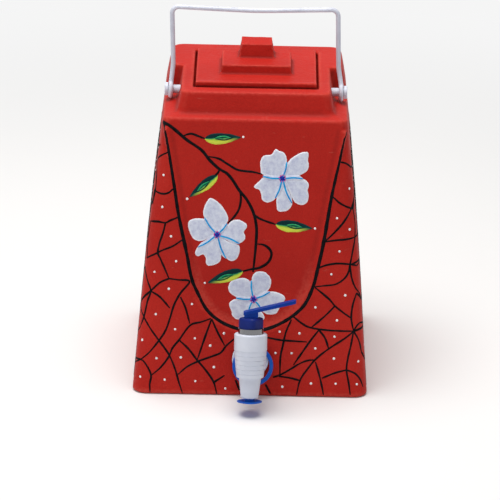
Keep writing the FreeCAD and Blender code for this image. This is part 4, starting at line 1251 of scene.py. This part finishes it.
def paintLeaves():
    look = leafLook
    steps = look["steps"]
    columns = look["columns"]
    bm, darkStrokes, brightStrokes = (bmesh.new() for _ in range(3))
    acrossLayer = bm.verts.layers.float.new("leafAcross")
    alongLayer = bm.verts.layers.float.new("leafAlong")
    for leaf in leaves:
        stalk = Vector(leaf["stalk"])
        tip = Vector(leaf["tip"])
        run = (tip - stalk).normalized()
        upSide = Vector((run.y, -run.x)) if run.x > 0 else Vector((-run.y, run.x))
        grid = bmesh.ops.create_grid(bm, x_segments=steps, y_segments=columns - 1, size=1)["verts"]
        grid.sort(key=lambda v: (round(v.co.x, 5), v.co.y))
        for number, v in enumerate(grid):
            share = (number // columns) / steps
            side = (number % columns) / (columns - 1) * 2 - 1
            swell = 0.0
            if 0 < share < 1:
                swell = math.sin(math.pi * share ** look["widest"]) ** look["fullness"]
            half = leaf["dark"] if side > 0 else leaf["light"]
            along, across = look["jagScales"]
            jag = 1 + look["jag"] * noise.noise(Vector((share * along, side * across, stalk.x)))
            width = side * half * max(swell, look["leastWidth"]) * jag
            place, normal = onPot(stalk.lerp(tip, share) + upSide * width)
            v.co = place + normal * (0 if abs(side) > 0.99 else paintLook["lift"])
            v[acrossLayer] = side * 0.5 + 0.5
            v[alongLayer] = share
        for strokes, stroke in ((darkStrokes, "darkStroke"), (brightStrokes, "brightStroke")):
            side, first, last = look[stroke]
            middle = stalk.lerp(tip, (first + last) / 2) + upSide * side * look["strokeBend"]
            start = stalk.lerp(tip, first) + upSide * side * look["strokeStart"]
            line = pixelPoints([start, middle, stalk.lerp(tip, last)])
            layStroke(strokes, line, look["strokeWidth"], taper=(0.3, 0.3), lift=look["strokeLift"])
    finishPaint("paintedLeaves", bm, "leafGreen")
    finishPaint("leafMidribs", darkStrokes, "tealPaint")
    finishPaint("leafHighlights", brightStrokes, "leafBright")


print("stage: painting")
paintBorder()
paintVine()
paintFrontNet()
paintWallNet()
paintDots()
paintFlowers()
paintLeaves()

# The bonnet's corners are moulded round, and the wire is bent by hand.
fittingLook = {
    "bonnetVoxel": 0.45 * mm,
    "bonnetRounds": 14,
    "bonnetTurn": -16,  # degrees, as it was screwed home
    "tapAxis": ((0, -146.2 * mm, 43.6 * mm), (0, 0.2079, 0.9781)),
    "wireLean": 2.3 * mm,  # how far the top of the bail leans to the left
    "wireFrom": 275 * mm,
}


def makeBonnet():
    bm = remeshed("bonnet_cap", fittingLook["bonnetVoxel"])
    soften(bm, bm.verts, fittingLook["bonnetRounds"])
    place, upward = (Vector(part) for part in fittingLook["tapAxis"])
    turn = Matrix.Rotation(math.radians(fittingLook["bonnetTurn"]), 3, upward)
    bmesh.ops.rotate(bm, verts=bm.verts, cent=place, matrix=turn)
    piece = finishMesh("mouldedBonnet", bm, "pot", "navyPlastic")
    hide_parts("bonnet_cap")


def makeBail():
    bm = mergedNode("bail_handle")
    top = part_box("bail_handle")[1].z
    for v in bm.verts:
        up = max(0, (v.co.z - fittingLook["wireFrom"]) / (top - fittingLook["wireFrom"]))
        v.co.x -= fittingLook["wireLean"] * up
    piece = finishMesh("bentWire", bm, "bail", "wireCoat")
    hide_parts("bail_handle")


print("stage: fittings")
makeBonnet()
makeBail()

# The finish of the pieces that keep their own shape.
nodeFinish = {
    "whitePlastic": ["pivot_pin_left", "pivot_pin_right", "tap_body", "flange_washer", "back_nut",
                     "spring_washer", "valve_stem"],
    "bluePlastic": ["lever", "lever_pin"],
    "ringPlastic": ["spout_cap", "hanging_ring"],
    "blackRubber": ["outer_gasket", "inner_gasket", "stem_oring", "bonnet_gasket"],
    "clearSilicone": ["valve_plug"],
    "chromePlate": ["chrome_collar"],
    "springSteel": ["valve_spring"],
}

print("stage: finishes")
for finish, nodeNames in nodeFinish.items():
    for name in nodeNames:
        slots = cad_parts[name].material_slots
        for slot in slots:
            slot.material = finishes[finish]
        if not slots:
            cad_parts[name].data.materials.append(finishes[finish])


def addFloor():
    # A matt floor that keeps the pot's shadow and runs into the backdrop further out.
    bm = bmesh.new()
    bmesh.ops.create_grid(bm, x_segments=1, y_segments=1, size=studio["floorSize"] / 2)
    floor = meshObject("floor", bm)
    material, tree, shader = newMaterial("paleFloor", 0.9, gloss=0.1)
    fillIn(tree, shader, {"Base Color": studio["floorColour"]})
    reach = addNode(tree, "VectorMath", {0: objectPlace(tree)}, operation="LENGTH")
    near, far = studio["floorFades"]
    fade = addNode(tree, "MapRange", {
        "Value": reach.outputs["Value"], "From Min": near, "From Max": far},
        interpolation_type="SMOOTHSTEP")
    shown = calculated(tree, "MULTIPLY", fade.outputs["Result"], seenDirectly(tree))
    bright = addNode(tree, "Emission", {"Color": studio["backdrop"]})
    mix = addNode(tree, "MixShader", {0: shown, 1: shader.outputs[0], 2: bright.outputs[0]})
    fillIn(tree, tree.nodes["Material Output"], {"Surface": mix.outputs[0]})
    floor.data.materials.append(material)


print("stage: floor")
addFloor()
